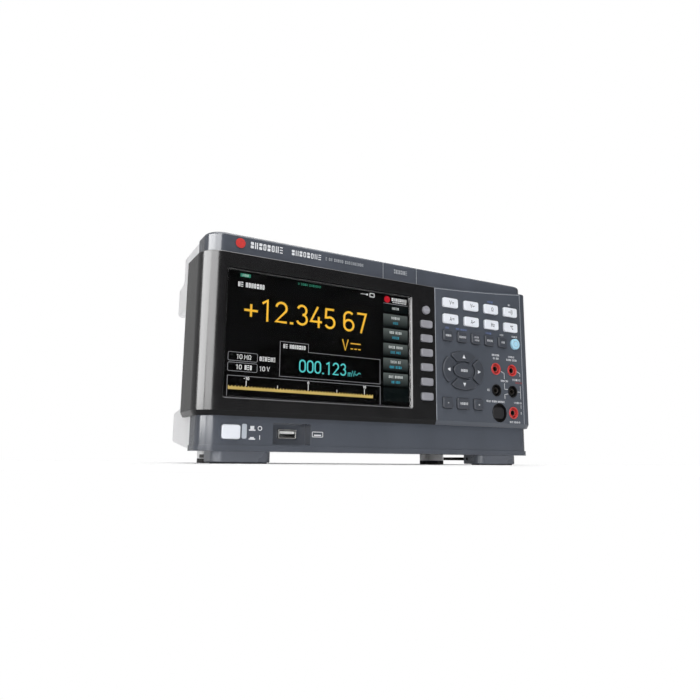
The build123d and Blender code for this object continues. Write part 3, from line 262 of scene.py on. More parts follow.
def host_socket(name):
    """Bright folded shell round a pale tongue with an even row of contacts along its underside; past the
    mouth the shell is painted dark as shade inside the socket.
    """
    made = Surface(name)
    low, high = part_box("usb_host_port")
    x, z = (low.x + high.x) / 2, (low.z + high.z) / 2
    tongue_half, tongue_low, tongue_top, skin = 6.0 * MM, 0.1 * MM, 2.1 * MM, 0.08 * MM
    contact_pitch, contact_half = 2.5 * MM, 0.55 * MM
    mouth = 2.0 * MM
    plating, dull, polished = (0.88, 0.88, 0.86, 1), (0.68, 0.68, 0.67, 1), (0.95, 0.95, 0.93, 1)
    shade, white, black = (0.10, 0.10, 0.10, 1), (0.97, 0.97, 0.95, 1), (0.015, 0.015, 0.015, 1)
    rounded, turning = made.edge(0.15 * MM)
    across, deep, up = made.axes()
    beside = made.within(across, x - tongue_half, x + tongue_half)
    tongue = made.maths("MULTIPLY", beside, made.within(up, z + tongue_low, z + tongue_top))
    under = made.maths("MULTIPLY", tongue, made.maths("LESS_THAN", up, z + tongue_low + skin))
    comb = made.maths("PINGPONG", made.maths("SUBTRACT", across, x), contact_pitch / 2)
    comb = made.maths("MULTIPLY", under, made.maths("LESS_THAN", comb, contact_half))
    shell = made.blend(made.span(made.noise(4 * MM, 4.0), 0.0, 0.5), plating, dull)
    shell = made.blend(made.maths("MULTIPLY", turning, 0.6), shell, polished)
    # painted shade: the shell is darkened deeper than the mouth
    shell = made.blend(made.maths("GREATER_THAN", deep, low.y + mouth), shell, shade)
    base = made.blend(tongue, shell, white)
    base = made.blend(comb, base, black)
    relief = made.bump(made.noise(2 * MM, 2.0), 0.002 * MM, rounded)
    bare = made.maths("SUBTRACT", 1.0, tongue)
    return made.finish(Base_Color=base, Metallic=bare, Roughness=0.24, Normal=relief)


def clear_cover(name):
    """Coated clear acrylic: hardly reflects, so the display reads black behind it."""
    made = Surface(name)
    veil = made.span(made.noise(9 * MM, 6.0), 0.0, 0.02, 0.5, 0.8)
    relief = made.bump(made.noise(30 * MM, 2.0), 0.002 * MM)
    return made.finish(
        Base_Color=(1, 1, 1, 1), Roughness=veil, Transmission_Weight=1.0, IOR=1.12, Normal=relief
    )


def light_guide(name):
    """Milky clear plastic that carries the standby light."""
    made = Surface(name)
    rounded, _ = made.edge(0.3 * MM)
    milk = made.span(made.noise(1.5 * MM, 3.0), 0.35, 0.5)
    cloudy = made.blend(milk, (0.36, 0.40, 0.45, 1), (0.62, 0.65, 0.70, 1))
    return made.finish(
        Base_Color=cloudy, Roughness=0.22, Normal=rounded, Emission_Color=(0.75, 0.82, 0.9, 1),
        Emission_Strength=0.05, Coat_Weight=0.5,
    )


def circuit(name, colour):
    """Solder-masked board: copper tracks show as lighter lines under the mask, pads as bright dots."""
    made = Surface(name)
    rounded, _ = made.edge(0.2 * MM)
    tracks = made.node("ShaderNodeTexBrick", Vector=made.place, Scale=240.0, Mortar_Size=0.035)
    tracks.inputs["Color1"].default_value = (0, 0, 0, 1)
    tracks.inputs["Color2"].default_value = (0, 0, 0, 1)
    tracks.inputs["Mortar"].default_value = (1, 1, 1, 1)
    pads = made.node("ShaderNodeTexVoronoi", Vector=made.place, Scale=260.0)
    copper = tuple(min(1.0, value * 2.1 + 0.01) for value in colour[:3]) + (1.0,)
    base = made.blend(tracks.outputs["Color"], colour, copper)
    base = made.blend(made.span(pads.outputs["Distance"], 1.0, 0.0, 0.10, 0.16), base, (0.55, 0.5, 0.4, 1))
    relief = made.bump(tracks.outputs["Color"], 0.03 * MM, rounded)
    return made.finish(Base_Color=base, Roughness=0.32, Normal=relief)


def striped(name, first, second, pitch, axis, rough, metallic=0.0):
    """Layers or conductors side by side, seen as fine parallel lines across one axis."""
    made = Surface(name)
    rounded, _ = made.edge(0.2 * MM)
    repeat = 0.314  # distance over which a wave texture of scale 1 repeats
    wave = made.node("ShaderNodeTexWave", Vector=made.place, Scale=repeat / pitch, Distortion=0.3)
    wave.bands_direction = axis
    lines = wave.outputs["Fac"]
    base = made.blend(lines, first, second)
    relief = made.bump(lines, 0.08 * MM, rounded)
    return made.finish(Base_Color=base, Roughness=rough, Normal=relief, Metallic=metallic)


def ink(name, colour, rough=0.5):
    """Screen-printed ink: a little uneven in cover, with a fine grain."""
    made = Surface(name)
    thin = tuple(value * 0.82 for value in colour[:3]) + (1.0,)
    base = made.blend(made.span(made.noise(1.3 * MM, 4.0), 0.0, 1.0), colour, thin)
    relief = made.bump(made.noise(0.3 * MM, 2.0), 0.01 * MM)
    return made.finish(Base_Color=base, Roughness=rough, Normal=relief)


def lit(name, colour, strength, fade=None):
    """Lit display pixels on a fine grid; fade names a second colour reached at the piece's lower edge."""
    made = Surface(name)
    grid = made.node("ShaderNodeTexBrick", Vector=made.place, Scale=2200.0, Mortar_Size=0.01)
    glow = colour
    if fade is not None:
        level = made.node("ShaderNodeAttribute", attribute_name="level").outputs["Fac"]
        glow = made.blend(level, fade, colour)
    uneven = made.blend(made.span(made.noise(12 * MM, 2.0), 0.0, 0.12), glow, (0, 0, 0, 1))
    base = made.blend(made.span(grid.outputs["Fac"], 0.0, 0.08, 0.0, 1.0), uneven, (0, 0, 0, 1))
    return made.finish(
        Base_Color=(0.001, 0.001, 0.001, 1), Roughness=0.5, Specular_IOR_Level=0.05, Emission_Color=base,
        Emission_Strength=strength,
    )


def build_materials():
    """Record slot name to finished material, for the carried-over CAD nodes."""
    cup_low, cup_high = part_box("terminal_select_button")
    cup = ((cup_low.x + cup_high.x) / 2, (cup_low.z + cup_high.z) / 2)
    cup_radius, cup_lip = 8.6 * MM, 0.3 * MM
    # the select button's cup, whose inside is painted near black as shade
    shade_pocket = (cup, cup_radius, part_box("keypad_panel")[0].y + cup_lip)
    return {
        "slate_plastic": moulded("slate_plastic", (0.080, 0.090, 0.112, 1), 0.20, wear=0.3, coat=0.5),
        "gloss_charcoal": lacquered("gloss_charcoal", (0.006, 0.006, 0.0065, 1), 0.22, coat=0.4, painted_top_light=0.8),
        "panel_slate": moulded("panel_slate", (0.070, 0.080, 0.100, 1), 0.42, wear=0.3, shade_pocket=shade_pocket),
        "clear_lens": clear_cover("clear_lens"),
        "dark_display": lacquered(
            "dark_display", (0.0010, 0.0010, 0.0012, 1), 0.5, coat=0.0, wear=0.0, shine=0.02
        ),
        "silicone": rubbery("silicone", (0.25, 0.26, 0.28, 1)),
        "circuit_board": circuit("circuit_board", (0.012, 0.10, 0.04, 1)),
        "red_plastic": moulded("red_plastic", (0.72, 0.075, 0.070, 1), 0.26, wear=0.15, gloss=0.7),
        "black_plastic": moulded("black_plastic", (0.006, 0.006, 0.0065, 1), 0.45, wear=0.15, gloss=0.3),
        # jack contacts: dull brass darkened nearly black, painted shade deep inside the jacks
        "contact_brass": metal("contact_brass", (0.09, 0.08, 0.07, 1), 0.45),
        "bright_shell": metal("bright_shell", (0.72, 0.72, 0.73, 1), 0.2),
        "light_guide": light_guide("light_guide"),
        "pale_plastic": moulded(
            "pale_plastic", (0.80, 0.80, 0.81, 1), 0.5, 0.6 * MM, 0.03 * MM, wear=0.2, tint=0.03
        ),
        "zinc_sheet": metal("zinc_sheet", (0.55, 0.56, 0.57, 1), 0.34, (0.2, 6, 6)),
        "laminated_iron": striped(
            "laminated_iron", (0.02, 0.02, 0.022, 1), (0.12, 0.12, 0.13, 1), 0.7 * MM, "Y", 0.45, 0.6
        ),
        "foot_rubber": rubbery("foot_rubber", (0.016, 0.016, 0.018, 1)),
        "screw_steel": metal("screw_steel", (0.55, 0.55, 0.56, 1), 0.22),
        "ribbon_grey": striped(
            "ribbon_grey", (0.22, 0.23, 0.25, 1), (0.42, 0.43, 0.46, 1), 1.27 * MM, "X", 0.5
        ),
        "white_key": moulded("white_key", (0.84, 0.87, 0.93, 1), 0.36, wear=0.1, tint=0.02),
        "dark_key": moulded("dark_key", (0.052, 0.058, 0.072, 1), 0.40, wear=0.3),
        "grey_key": moulded("grey_key", (0.29, 0.29, 0.32, 1), 0.38, wear=0.15, tint=0.04),
        "blue_key": moulded("blue_key", (0.42, 0.72, 0.88, 1), 0.34, wear=0.15, tint=0.04),
    }


def dress_frame(finishes):
    """Gives every CAD node its finish; three nodes differ from the slot they share with others."""
    slots = {part["node"]: part["material_slot"] for part in frame["record"]["subparts"]}
    special = {
        "usb_host_port": host_socket("host_socket"),
        "terminal_select_button": moulded("select_cap", (0.014, 0.014, 0.016, 1), 0.38, wear=0.4),
        # the feet take a lighter copy of the slate, painted light that lifts them out of the shade under the
        # body
        "front_feet": moulded("foot_slate_lightened", (0.150, 0.165, 0.198, 1), 0.30, wear=0.3, coat=0.3),
    }
    for name, node in frame["nodes"].items():
        node.data.materials.clear()
        node.data.materials.append(special.get(name) or finishes[slots[name]])


# ------------------------------------------------------------------ flat marks
class Marks:
    """Flat closed prisms on a front face, collected into one piece that rides on a body."""

    def __init__(self, name, material, face, body=BODY, thick=INK):
        self.name, self.material, self.body = name, material, body
        self.front = face - (thick - INK_SINK)
        self.back = face + INK_SINK
        self.mesh = bmesh.new()
        self.level = self.mesh.verts.layers.float.new("level")

    def points(self, outline, y, levels=None):
        made = []
        for index, (x, z) in enumerate(outline):
            vert = self.mesh.verts.new((x, y, z))
            if levels is not None:
                vert[self.level] = levels[index]
            made.append(vert)
        return made

    def polygon(self, outline, levels=None):
        """One prism from a simple outline."""
        front = self.points(outline, self.front, levels)
        back = self.points(outline, self.back, levels)
        self.mesh.faces.new(front)
        self.mesh.faces.new(reversed(back))
        for i in range(len(outline)):
            j = (i + 1) % len(outline)
            self.mesh.faces.new((front[j], front[i], back[i], back[j]))

    def stroke(self, path, width, closed=False):
        """A strip of even width along a path, mitred at its corners."""
        left, right = [], []
        count = len(path)
        for i, (x, z) in enumerate(path):
            before = path[i - 1] if closed or i > 0 else None
            after = path[(i + 1) % count] if closed or i < count - 1 else None
            into = Vector((x - before[0], z - before[1])).normalized() if before else None
            onto = Vector((after[0] - x, after[1] - z)).normalized() if after else None
            into, onto = into or onto, onto or into
            along = (into + onto).normalized()
            across = Vector((-along.y, along.x))
            reach = width / 2 / max(0.62, across.dot(Vector((-into.y, into.x))))
            left.append((x + across.x * reach, z + across.y * reach))
            right.append((x - across.x * reach, z - across.y * reach))
        rows = [self.points(side, y) for y in (self.front, self.back) for side in (left, right)]
        front_left, front_right, back_left, back_right = rows
        for i in range(count if closed else count - 1):
            j = (i + 1) % count
            self.mesh.faces.new((front_left[i], front_left[j], front_right[j], front_right[i]))
            self.mesh.faces.new((back_left[j], back_left[i], back_right[i], back_right[j]))
            self.mesh.faces.new((front_left[j], front_left[i], back_left[i], back_left[j]))
            self.mesh.faces.new((front_right[i], front_right[j], back_right[j], back_right[i]))
        if not closed:
            for i in (0, count - 1):
                self.mesh.faces.new((front_left[i], front_right[i], back_right[i], back_left[i]))

    def block(self, x, z, width, height, round_by=0.0, levels=False):
        """A filled rectangle about a centre, with rounded corners if asked; levels run 1 at the top to 0."""
        outline = box_path(x, z, width, height, round_by)
        shades = [(point[1] - z) / height + 0.5 for point in outline] if levels else None
        self.polygon(outline, shades)

    def frame(self, x, z, width, height, line, round_by=0.0):
        self.stroke(box_path(x, z, width, height, round_by), line, closed=True)

    def piece(self):
        """Closes the collection: one object with the marks' material, riding on their body."""
        bmesh.ops.recalc_face_normals(self.mesh, faces=self.mesh.faces)
        data = bpy.data.meshes.new(self.name)
        self.mesh.to_mesh(data)
        self.mesh.free()
        data.materials.append(self.material)
        made = bpy.data.objects.new(self.name, data)
        bpy.context.scene.collection.objects.link(made)
        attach(made, self.body)


def box_path(x, z, width, height, round_by=0.0):
    """Outline of a rectangle about a centre, anticlockwise, with arcs at its corners."""
    if round_by <= 0:
        return [(x + a * width / 2, z + b * height / 2) for a, b in ((1, -1), (1, 1), (-1, 1), (-1, -1))]
    path = []
    for a, b, start in ((1, 1, 0), (-1, 1, 90), (-1, -1, 180), (1, -1, 270)):
        centre = (x + a * (width / 2 - round_by), z + b * (height / 2 - round_by))
        path += arc(*centre, round_by, round_by, start, start + 90, 5)
    return path


def arc(x, z, across, up, start, end, steps=10):
    """Points on an ellipse about (x, z) from one angle to another, in degrees."""
    turns = [math.radians(start + (end - start) * i / steps) for i in range(steps + 1)]
    return [(x + across * math.cos(turn), z + up * math.sin(turn)) for turn in turns]


# ------------------------------------------------------------------ numerals and unit signs
HALF = 0.0625  # half a stroke, as a share of the figure's height
WIDE = 0.25  # half the width between the middles of a figure's side strokes


def loop(x, z, across, up):
    return arc(x, z, across, up, 0, 345, 23)


GLYPHS = {
    "0": [(arc(0, 0.69, WIDE, WIDE, 0, 180) + arc(0, 0.31, WIDE, WIDE, 180, 360), True)],
    "1": [([(-0.19, 0.80), (0.05, 0.95), (0.05, 0.0)], False)],
    "2": [(arc(0, 0.69, WIDE, WIDE, 170, -30) + [(-WIDE, HALF), (WIDE + 0.02, HALF)], False)],
    "3": [
        (arc(0, 0.715, 0.22, 0.22, 160, -82), False),
        (arc(0, 0.30, WIDE, 0.235, 82, -160), False),
    ],
    "4": [([(0.09, 0.98), (-0.26, 0.28), (0.30, 0.28)], False), ([(0.14, 0.52), (0.14, 0.0)], False)],
    "5": [
        (
            [(0.22, 1 - HALF), (-0.19, 1 - HALF), (-0.21, 0.54)] + arc(0, 0.315, WIDE, 0.255, 118, -150),
            False,
        )
    ],
    "6": [
        (loop(0, 0.31, WIDE, WIDE), True),
        ([(-WIDE, 0.31)] + arc(0, 0.69, WIDE, WIDE, 180, 40), False),
    ],
    "7": [([(-0.26, 1 - HALF), (0.22, 1 - HALF), (-0.05, 0.0)], False)],
    "+": [([(-0.31, 0.41), (0.31, 0.41)], False), ([(0, 0.13), (0, 0.69)], False)],
    "-": [([(-0.25, 0.45), (0.25, 0.45)], False)],
    ".": [([(-0.08, HALF), (0.08, HALF)], False)],
    "V": [([(-0.28, 1.0), (0, 0.06), (0.28, 1.0)], False)],
    "A": [([(-0.28, 0.0), (0, 0.94), (0.28, 0.0)], False), ([(-0.18, 0.28), (0.18, 0.28)], False)],
    "M": [([(-0.30, 0.0), (-0.30, 0.94), (0, 0.36), (0.30, 0.94), (0.30, 0.0)], False)],
    "m": [
        ([(-0.30, 0.0), (-0.30, 0.66)], False),
        (arc(-0.15, 0.45, 0.15, 0.17, 180, 0) + [(0, 0)], False),
        (arc(0.15, 0.45, 0.15, 0.17, 180, 0) + [(0.30, 0)], False),
    ],
    "H": [
        ([(-WIDE, 0), (-WIDE, 1)], False),
        ([(WIDE, 0), (WIDE, 1)], False),
        ([(-WIDE, 0.5), (WIDE, 0.5)], False),
    ],
    "z": [([(-0.17, 0.62), (0.17, 0.62), (-0.17, HALF), (0.18, HALF)], False)],
    "C": [(arc(0.02, 0.5, WIDE, 0.44, 45, 315, 16), False)],
    "o": [(loop(0, 0.80, 0.13, 0.13), True)],
    "R": [
        (
            [(-0.32, HALF), (-0.13, HALF)]
            + arc(0, 0.58, 0.28, 0.36, 240, -60, 18)
            + [(0.13, HALF), (0.32, HALF)],
            False,
        )
    ],
    "=": [
        ([(-0.32, 0.62), (0.32, 0.62)], False),
        ([(-0.32, 0.32), (-0.17, 0.32)], False),
        ([(-0.075, 0.32), (0.075, 0.32)], False),
        ([(0.17, 0.32), (0.32, 0.32)], False),
    ],
    "~": [([(x / 20, 0.48 + 0.13 * math.sin(x / 6 * math.pi)) for x in range(-6, 7)], False)],
}
# room a sign takes along the line, as a share of its height
ADVANCE = {".": 0.30, " ": 0.305, "o": 0.36, "z": 0.52, "M": 0.84, "m": 0.84, "R": 0.84, "=": 0.86}
DIGIT_ADVANCE = 0.71


def text_width(text, height):
    return sum(ADVANCE.get(letter, DIGIT_ADVANCE) for letter in text) * height


def write(marks, text, left, base, height, weight, squeeze=1.0):
    """Writes numerals and unit signs in strokes from a left edge; R stands for the ohm sign."""
    for letter in text:
        room = ADVANCE.get(letter, DIGIT_ADVANCE) * height * squeeze
        for path, closed in GLYPHS.get(letter, ()):
            moved = [(left + room / 2 + x * height * squeeze, base + z * height) for x, z in path]
            marks.stroke(moved, weight * height, closed)
        left += room
    return left


def write_centred(marks, text, x, z, height, weight):
    write(marks, text, x - text_width(text, height) / 2, z - height / 2, height, weight)


def cell(marks, kind, x, z, width, height):
    """One abstract mark of a stand-in word: a ring, a stack, a pair of posts or a set of bars."""
    line = height * 0.17
    if kind == "ring":
        marks.frame(x, z, width - line, height - line, line, (width - line) * 0.3)
    elif kind == "stack":
        for side in (-1, 1):
            marks.block(x, z + side * height * 0.28, width, height * 0.44, height * 0.08)
    elif kind == "posts":
        for side in (-1, 1):
            marks.block(x + side * (width - line) / 2, z, line, height)
    else:
        for side in (-1, 0, 1):
            marks.block(x, z + side * (height - line) / 2, width, line)


def dummy(marks, words, left, z, width, height):
    """Stand-in for wording: one row of abstract marks, grouped like words."""
    units = sum(words) + 0.7 * (len(words) - 1)
    pitch = width / units
    chance = random.Random(len(words) * 31 + sum(words))
    kinds = ("ring", "stack", "posts", "bars")
    last = None
    for word in words:
        for letter in range(word):
            last = chance.choice([kind for kind in kinds if kind != last])
            cell(marks, last, left + (letter + 0.5) * pitch, z, pitch * 0.72, height)
        left += (word + 0.7) * pitch


# ------------------------------------------------------------------ display image
LENS_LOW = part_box("display_lens")[0]
SCREEN_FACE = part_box("display_module")[0].y
SCREEN_THICK = 0.12 * MM
SOFTKEYS = [f"softkey_{number}" for number in range(1, 7)]
RANGE_ROWS = (29.1, 21.7)  # heights of the two range boxes' middles
TICK_FOOT = 8.4  # height of the foot of the bar meter's ticks
HEADER = 88.9  # height of the middle of the header's tag


def screen(across, up):
    """A place on the display, in millimetres from the window's lower left corner."""
    return LENS_LOW.x + across * MM, LENS_LOW.z + up * MM


def screen_marks(name, colour, strength, fade=None):
    return Marks(name, lit(name, colour, strength, fade), SCREEN_FACE, thick=SCREEN_THICK)


def build_main_reading():
    """Large amber reading with its unit, above the bar meter."""
    amber = screen_marks("display_main_reading", srgb(252, 196, 62), 1.0)
    height = 16.6 * MM
    left, base = screen(12.8, 56.7)
    write(amber, "+12.345 67", left, base, height, 0.098)
    unit_left, unit_base = screen(93.3, 41.2)
    sign_left = write(amber, "V", unit_left, unit_base, 9.0 * MM, 0.085)
    write(amber, "=", sign_left, unit_base - 2.4 * MM, 14.0 * MM, 0.055)
    amber.piece()


def build_second_reading():
    """Smaller cyan reading with its unit, inside the page's outline."""
    cyan = screen_marks("display_second_reading", srgb(92, 214, 214), 0.9)
    left, base = screen(57.2, 21.4)
    end = write(cyan, "000.123", left, base, 9.8 * MM, 0.105, 0.91)
    sign_left = write(cyan, "mV", end + 0.8 * MM, base, 4.6 * MM, 0.085)
    write(cyan, "~", sign_left - 0.6 * MM, base - 1.3 * MM, 7.6 * MM, 0.06)
    cyan.piece()


def build_page_lines():
    """Outlines of the second reading's page, the range boxes and the bar meter, and a line by the header."""
    grey = screen_marks("display_page_lines", srgb(168, 170, 174), 0.8)
    line = 0.27 * MM
    left, tab_right, right = 42.1, 65.0, 128.2
    low, shoulder, top = 17.4, 37.0, 43.2
    page = (
        (left, low), (left, top), (tab_right, top), (tab_right, shoulder), (right, shoulder), (right, low),
    )
    grey.stroke([screen(*corner) for corner in page], line, closed=True)
    for up in RANGE_ROWS:
        grey.frame(*screen(13.9, up), 21.8 * MM, 6.1 * MM, line, 1.0 * MM)
    meter_left, meter_right, meter_low, meter_top = 3.1, 128.3, 1.0, 15.4
    meter = (
        (meter_left, meter_low), (meter_left, meter_top), (meter_right, meter_top), (meter_right, meter_low),
    )
    grey.stroke([screen(*corner) for corner in meter], line)
    grey.stroke([screen(131.3, 84.2), screen(155.0, 84.2)], 0.3 * MM)
    grey.piece()


METER = {"left": 3.8, "right": 121.6, "low": 5.7, "top": 7.7}  # the bar's edges, as for screen()


def build_bar_meter():
    """The filled bar, with a row of fine teeth along its top."""
    gold = screen_marks("display_bar_meter", srgb(214, 186, 108), 0.9)
    width = METER["right"] - METER["left"]
    height = METER["top"] - METER["low"]
    gold.block(*screen(METER["left"] + width / 2, METER["low"] + height / 2), width * MM, height * MM)
    teeth = 49
    for tooth in range(teeth):
        across = METER["left"] + 0.4 + tooth * (width - 0.8) / (teeth - 1)
        gold.block(*screen(across, METER["top"] + 0.3), 0.7 * MM, 0.9 * MM)
    gold.piece()


def build_white_marks():
    """White figures, ticks and stand-in wording on the display."""
    white = screen_marks("display_white_marks", srgb(236, 238, 238), 0.95)
    for across, label in ((17.0, "-10"), (65.4, "0"), (113.8, "10")):
        white.stroke([screen(across, TICK_FOOT), screen(across, TICK_FOOT + 4.0)], 0.45 * MM)
        write_centred(white, label, *screen(across, TICK_FOOT + 5.5), 2.0 * MM, 0.2)
    for across in (40.9, 89.5):
        white.stroke([screen(across, TICK_FOOT), screen(across, TICK_FOOT + 2.0)], 0.4 * MM)
    dummy(white, (2, 7), *screen(8.0, 82.0), 20.6 * MM, 3.6 * MM)
    dummy(white, (2, 7), *screen(44.4, 40.0), 18.4 * MM, 3.0 * MM)
    upper, lower = RANGE_ROWS
    figure = 3.4 * MM
    beside = 26.2
    dummy(white, (6,), *screen(beside, upper - 0.2), 12.6 * MM, 3.2 * MM)
    write_centred(white, "10 MR", *screen(14.6, upper), figure, 0.11)
    write(white, "10", *screen(8.6, lower - 1.7), figure, 0.12)
    dummy(white, (3,), *screen(15.2, lower), 5.8 * MM, figure)
    write(white, "10 V", *screen(beside, lower - 1.7), figure, 0.12)
    socket_across, icon_up = 111.4, 89.0
    white.stroke([screen(socket_across - 1.4, icon_up), screen(socket_across + 4.2, icon_up)], 0.4 * MM)
    white.block(*screen(socket_across + 4.6, icon_up), 1.5 * MM, 1.5 * MM, 0.3 * MM)
    white.frame(*screen(socket_across + 9.2, icon_up), 4.0 * MM, 2.8 * MM, 0.6 * MM, 0.3 * MM)
    dummy(white, (8,), *screen(139.2, 88.2), 15.2 * MM, 2.4 * MM)
    dummy(white, (12,), *screen(140.2, 85.9), 13.6 * MM, 1.1 * MM)
    white.piece()


def build_status_marks():
    """Green tag and stand-in wording along the header, and a plain red dot at its right."""
    green = screen_marks("display_green_marks", srgb(60, 150, 122), 0.8)
    green.block(*screen(13.6, HEADER), 7.7 * MM, 2.5 * MM, 0.3 * MM)
    dummy(green, (1, 4, 7), *screen(55.0, HEADER + 0.1), 19.6 * MM, 1.7 * MM)
    green.piece()
    tag = screen_marks("display_tag_marks", srgb(224, 240, 236), 0.8)
    tag.front -= 0.05 * MM
    dummy(tag, (3,), *screen(11.2, HEADER), 4.8 * MM, 1.5 * MM)
    tag.piece()
    red = screen_marks("display_red_dot", srgb(196, 30, 44), 0.85)
    red.polygon(loop(*screen(135.0, 87.6), 2.8 * MM, 2.8 * MM))
    red.piece()


def build_softkey_labels():
    """Shaded label with stand-in wording beside each softkey but the last, and a heading above them."""
    width, height = 23.6 * MM, 10.4 * MM
    letter = 1.7 * MM
    heading = screen(0, 80.6)[1]
    tile = screen_marks("display_softkey_tiles", srgb(98, 106, 104), 0.75, srgb(2, 12, 12))
    white = screen_marks("display_softkey_names", srgb(225, 232, 230), 0.85)
    cyan = screen_marks("display_softkey_values", srgb(60, 170, 196), 0.85)
    for marks in (white, cyan):
        marks.front -= 0.05 * MM
    x = screen(143.1, 0)[0]
    words = ((5,), (3, 4), (4, 4), (4, 2), (3, 5))
    choices = ((3,), (4,), (3, 3), (3, 4), (2, 3))
    for index, key in enumerate(SOFTKEYS[:5]):
        z = (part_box(key)[0].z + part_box(key)[1].z) / 2
        tile.block(x, z, width, height, 0.4 * MM, levels=True)
        name_width = letter * sum(words[index])
        value_width = letter * sum(choices[index])
        dummy(white, words[index], x - name_width / 2, z + 2.3 * MM, name_width, 2.0 * MM)
        dummy(cyan, choices[index], x - value_width / 2, z - 1.9 * MM, value_width, 1.9 * MM)
    z = (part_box(SOFTKEYS[5])[0].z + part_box(SOFTKEYS[5])[1].z) / 2
    dark = screen_marks("display_empty_tile", srgb(6, 16, 17), 0.6)
    dark.block(x, z, width, height, 0.4 * MM)
    dark.block(x, heading, width, 6.0 * MM, 0.3 * MM)
    dark.piece()
    dummy(white, (4,), x - 2 * letter, heading, 4 * letter, 1.9 * MM)
    for marks in (tile, white, cyan):
        marks.piece()


# ------------------------------------------------------------------ printing on the mouldings
STRIP_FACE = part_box("front_frame")[0].y
TITLE_Z = 158.0  # height of the title's middle, in millimetres
PANEL_LOW, PANEL_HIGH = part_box("keypad_panel")
PANEL_FACE = PANEL_LOW.y


def spot(x, z):
    """A place on the front in millimetres, in the frame's own X and Z."""
    return x * MM, z * MM


def build_title_print(white, grey):
    """Plain red disc and stand-in wording along the title strip, and its two dividing lines."""
    disc = Marks("title_disc", ink("title_red_ink", srgb(206, 44, 40)), STRIP_FACE)
    disc.polygon(loop(*spot(-128.3, TITLE_Z), 3.7 * MM, 3.7 * MM))
    disc.piece()
    name = Marks("title_name_print", white, STRIP_FACE)
    dummy(name, (8,), *spot(-121.0, TITLE_Z), 26.2 * MM, 4.9 * MM)
    dummy(name, (8,), *spot(-88.2, TITLE_Z), 25.6 * MM, 4.2 * MM)
    name.piece()
    small = Marks("title_small_print", grey, STRIP_FACE)
    dummy(small, (1, 2, 5, 10), *spot(-59.3, TITLE_Z - 0.1), 34.5 * MM, 2.5 * MM)
    dummy(small, (8,), *spot(4.4, TITLE_Z - 0.2), 13.4 * MM, 3.6 * MM)
    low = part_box("display_bezel")[1].z + 0.4 * MM
    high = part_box("front_frame")[1].z - 1.4 * MM
    for x in (-6.1, 27.1):
        small.stroke([(x * MM, low), (x * MM, high)], 0.45 * MM)
    small.piece()


def build_power_print(white):
    """Push-button signs, the on and off signs, and a plain socket sign in the lower strip."""
    signs = Marks("power_print", white, STRIP_FACE)
    line = 0.55 * MM
    button_x, state_x, socket_x = -114.4, -108.7, -63.4
    for z, tall in ((23.2, 2.6), (17.0, 1.1)):
        signs.block(*spot(button_x, z), 4.8 * MM, 0.9 * MM)
        signs.block(*spot(button_x, z + 0.3 + tall / 2), 2.9 * MM, tall * MM)
    signs.stroke(loop(*spot(state_x, 24.6), 1.4 * MM, 1.4 * MM), line, closed=True)
    signs.stroke([spot(state_x, 16.7), spot(state_x, 19.7)], line)
    signs.frame(*spot(socket_x, 21.5), 8.6 * MM, 3.6 * MM, 0.5 * MM, 0.5 * MM)
    signs.block(*spot(socket_x, 20.9), 5.8 * MM, 1.0 * MM)
    signs.piece()


def jack_place(name):
    return JACKS[name].x, JACKS[name].z


def build_jack_print(white, red):
    """White linking lines and stand-in wording round the input jacks."""
    print_white = Marks("jack_print", white, PANEL_FACE)
    line = 0.42 * MM
    sense_x, sense_z = jack_place("sense_hi")
    input_x, input_z = jack_place("input_hi")
    low_z = jack_place("sense_lo")[1]
    middle = (sense_x + input_x) / 2
    right = input_x + 9.3 * MM
    links = (  # three between the two columns of jacks, then four down the right-hand side
        (
            (sense_x + 5.9 * MM, sense_z - 1.7 * MM),
            (middle, sense_z - 3.4 * MM),
            (middle, sense_z - 8.2 * MM),
        ),
        ((middle, sense_z - 12.2 * MM), (middle, low_z + 1.6 * MM), (input_x - 5.7 * MM, low_z + 1.6 * MM)),
        ((input_x - 5.5 * MM, low_z - 2.4 * MM), (middle, low_z - 3.2 * MM), (middle, low_z - 7.0 * MM)),
        ((input_x + 5.8 * MM, input_z - 0.6 * MM), (right, input_z - 2.2 * MM), (right, input_z - 5.0 * MM)),
        ((right, input_z - 13.6 * MM), (right, low_z - 6.4 * MM)),
        ((input_x + 5.8 * MM, low_z), (right, low_z)),
        ((right, low_z - 11.6 * MM), (right, low_z - 15.0 * MM)),
    )
    for link in links:
        print_white.stroke(link, line)
    rows = (  # words, middle in X and Z, then width and height in millimetres
        ((3, 4), sense_x, sense_z + 12.4 * MM, 8.6, 1.7),
        ((2, 2), sense_x + 0.3 * MM, sense_z + 9.4 * MM, 6.8, 1.7),
        ((5,), input_x - 0.4 * MM, input_z + 12.2 * MM, 7.6, 1.7),
        ((5, 5), input_x - 0.2 * MM, input_z + 9.4 * MM, 12.4, 1.7),
        ((4, 3), middle, sense_z - 10.2 * MM, 8.6, 1.6),
        ((5,), input_x + 4.8 * MM, input_z - 8.4 * MM, 10.0, 1.7),
        ((2,), sense_x - 9.2 * MM, low_z - 0.2 * MM, 2.8, 1.8),
        ((4, 5, 6), sense_x - 1.4 * MM, low_z - 10.0 * MM, 21.0, 1.6),
        ((5,), input_x + 5.6 * MM, low_z - 10.0 * MM, 9.4, 1.6),
        ((1,), right, low_z - 19.0 * MM, 1.7, 1.9),
        ((3, 5), input_x + 1.4 * MM, PANEL_LOW.z + 4.9 * MM, 12.6, 1.5),
    )
    for words, x, z, width, height in rows:
        dummy(print_white, words, x - width / 2 * MM, z, width * MM, height * MM)
    print_white.piece()
    print_red = Marks("jack_limit_print", red, PANEL_FACE)
    dummy(print_red, (4, 2), input_x + 3.4 * MM, input_z - 10.9 * MM, 8.4 * MM, 1.5 * MM)
    print_red.piece()


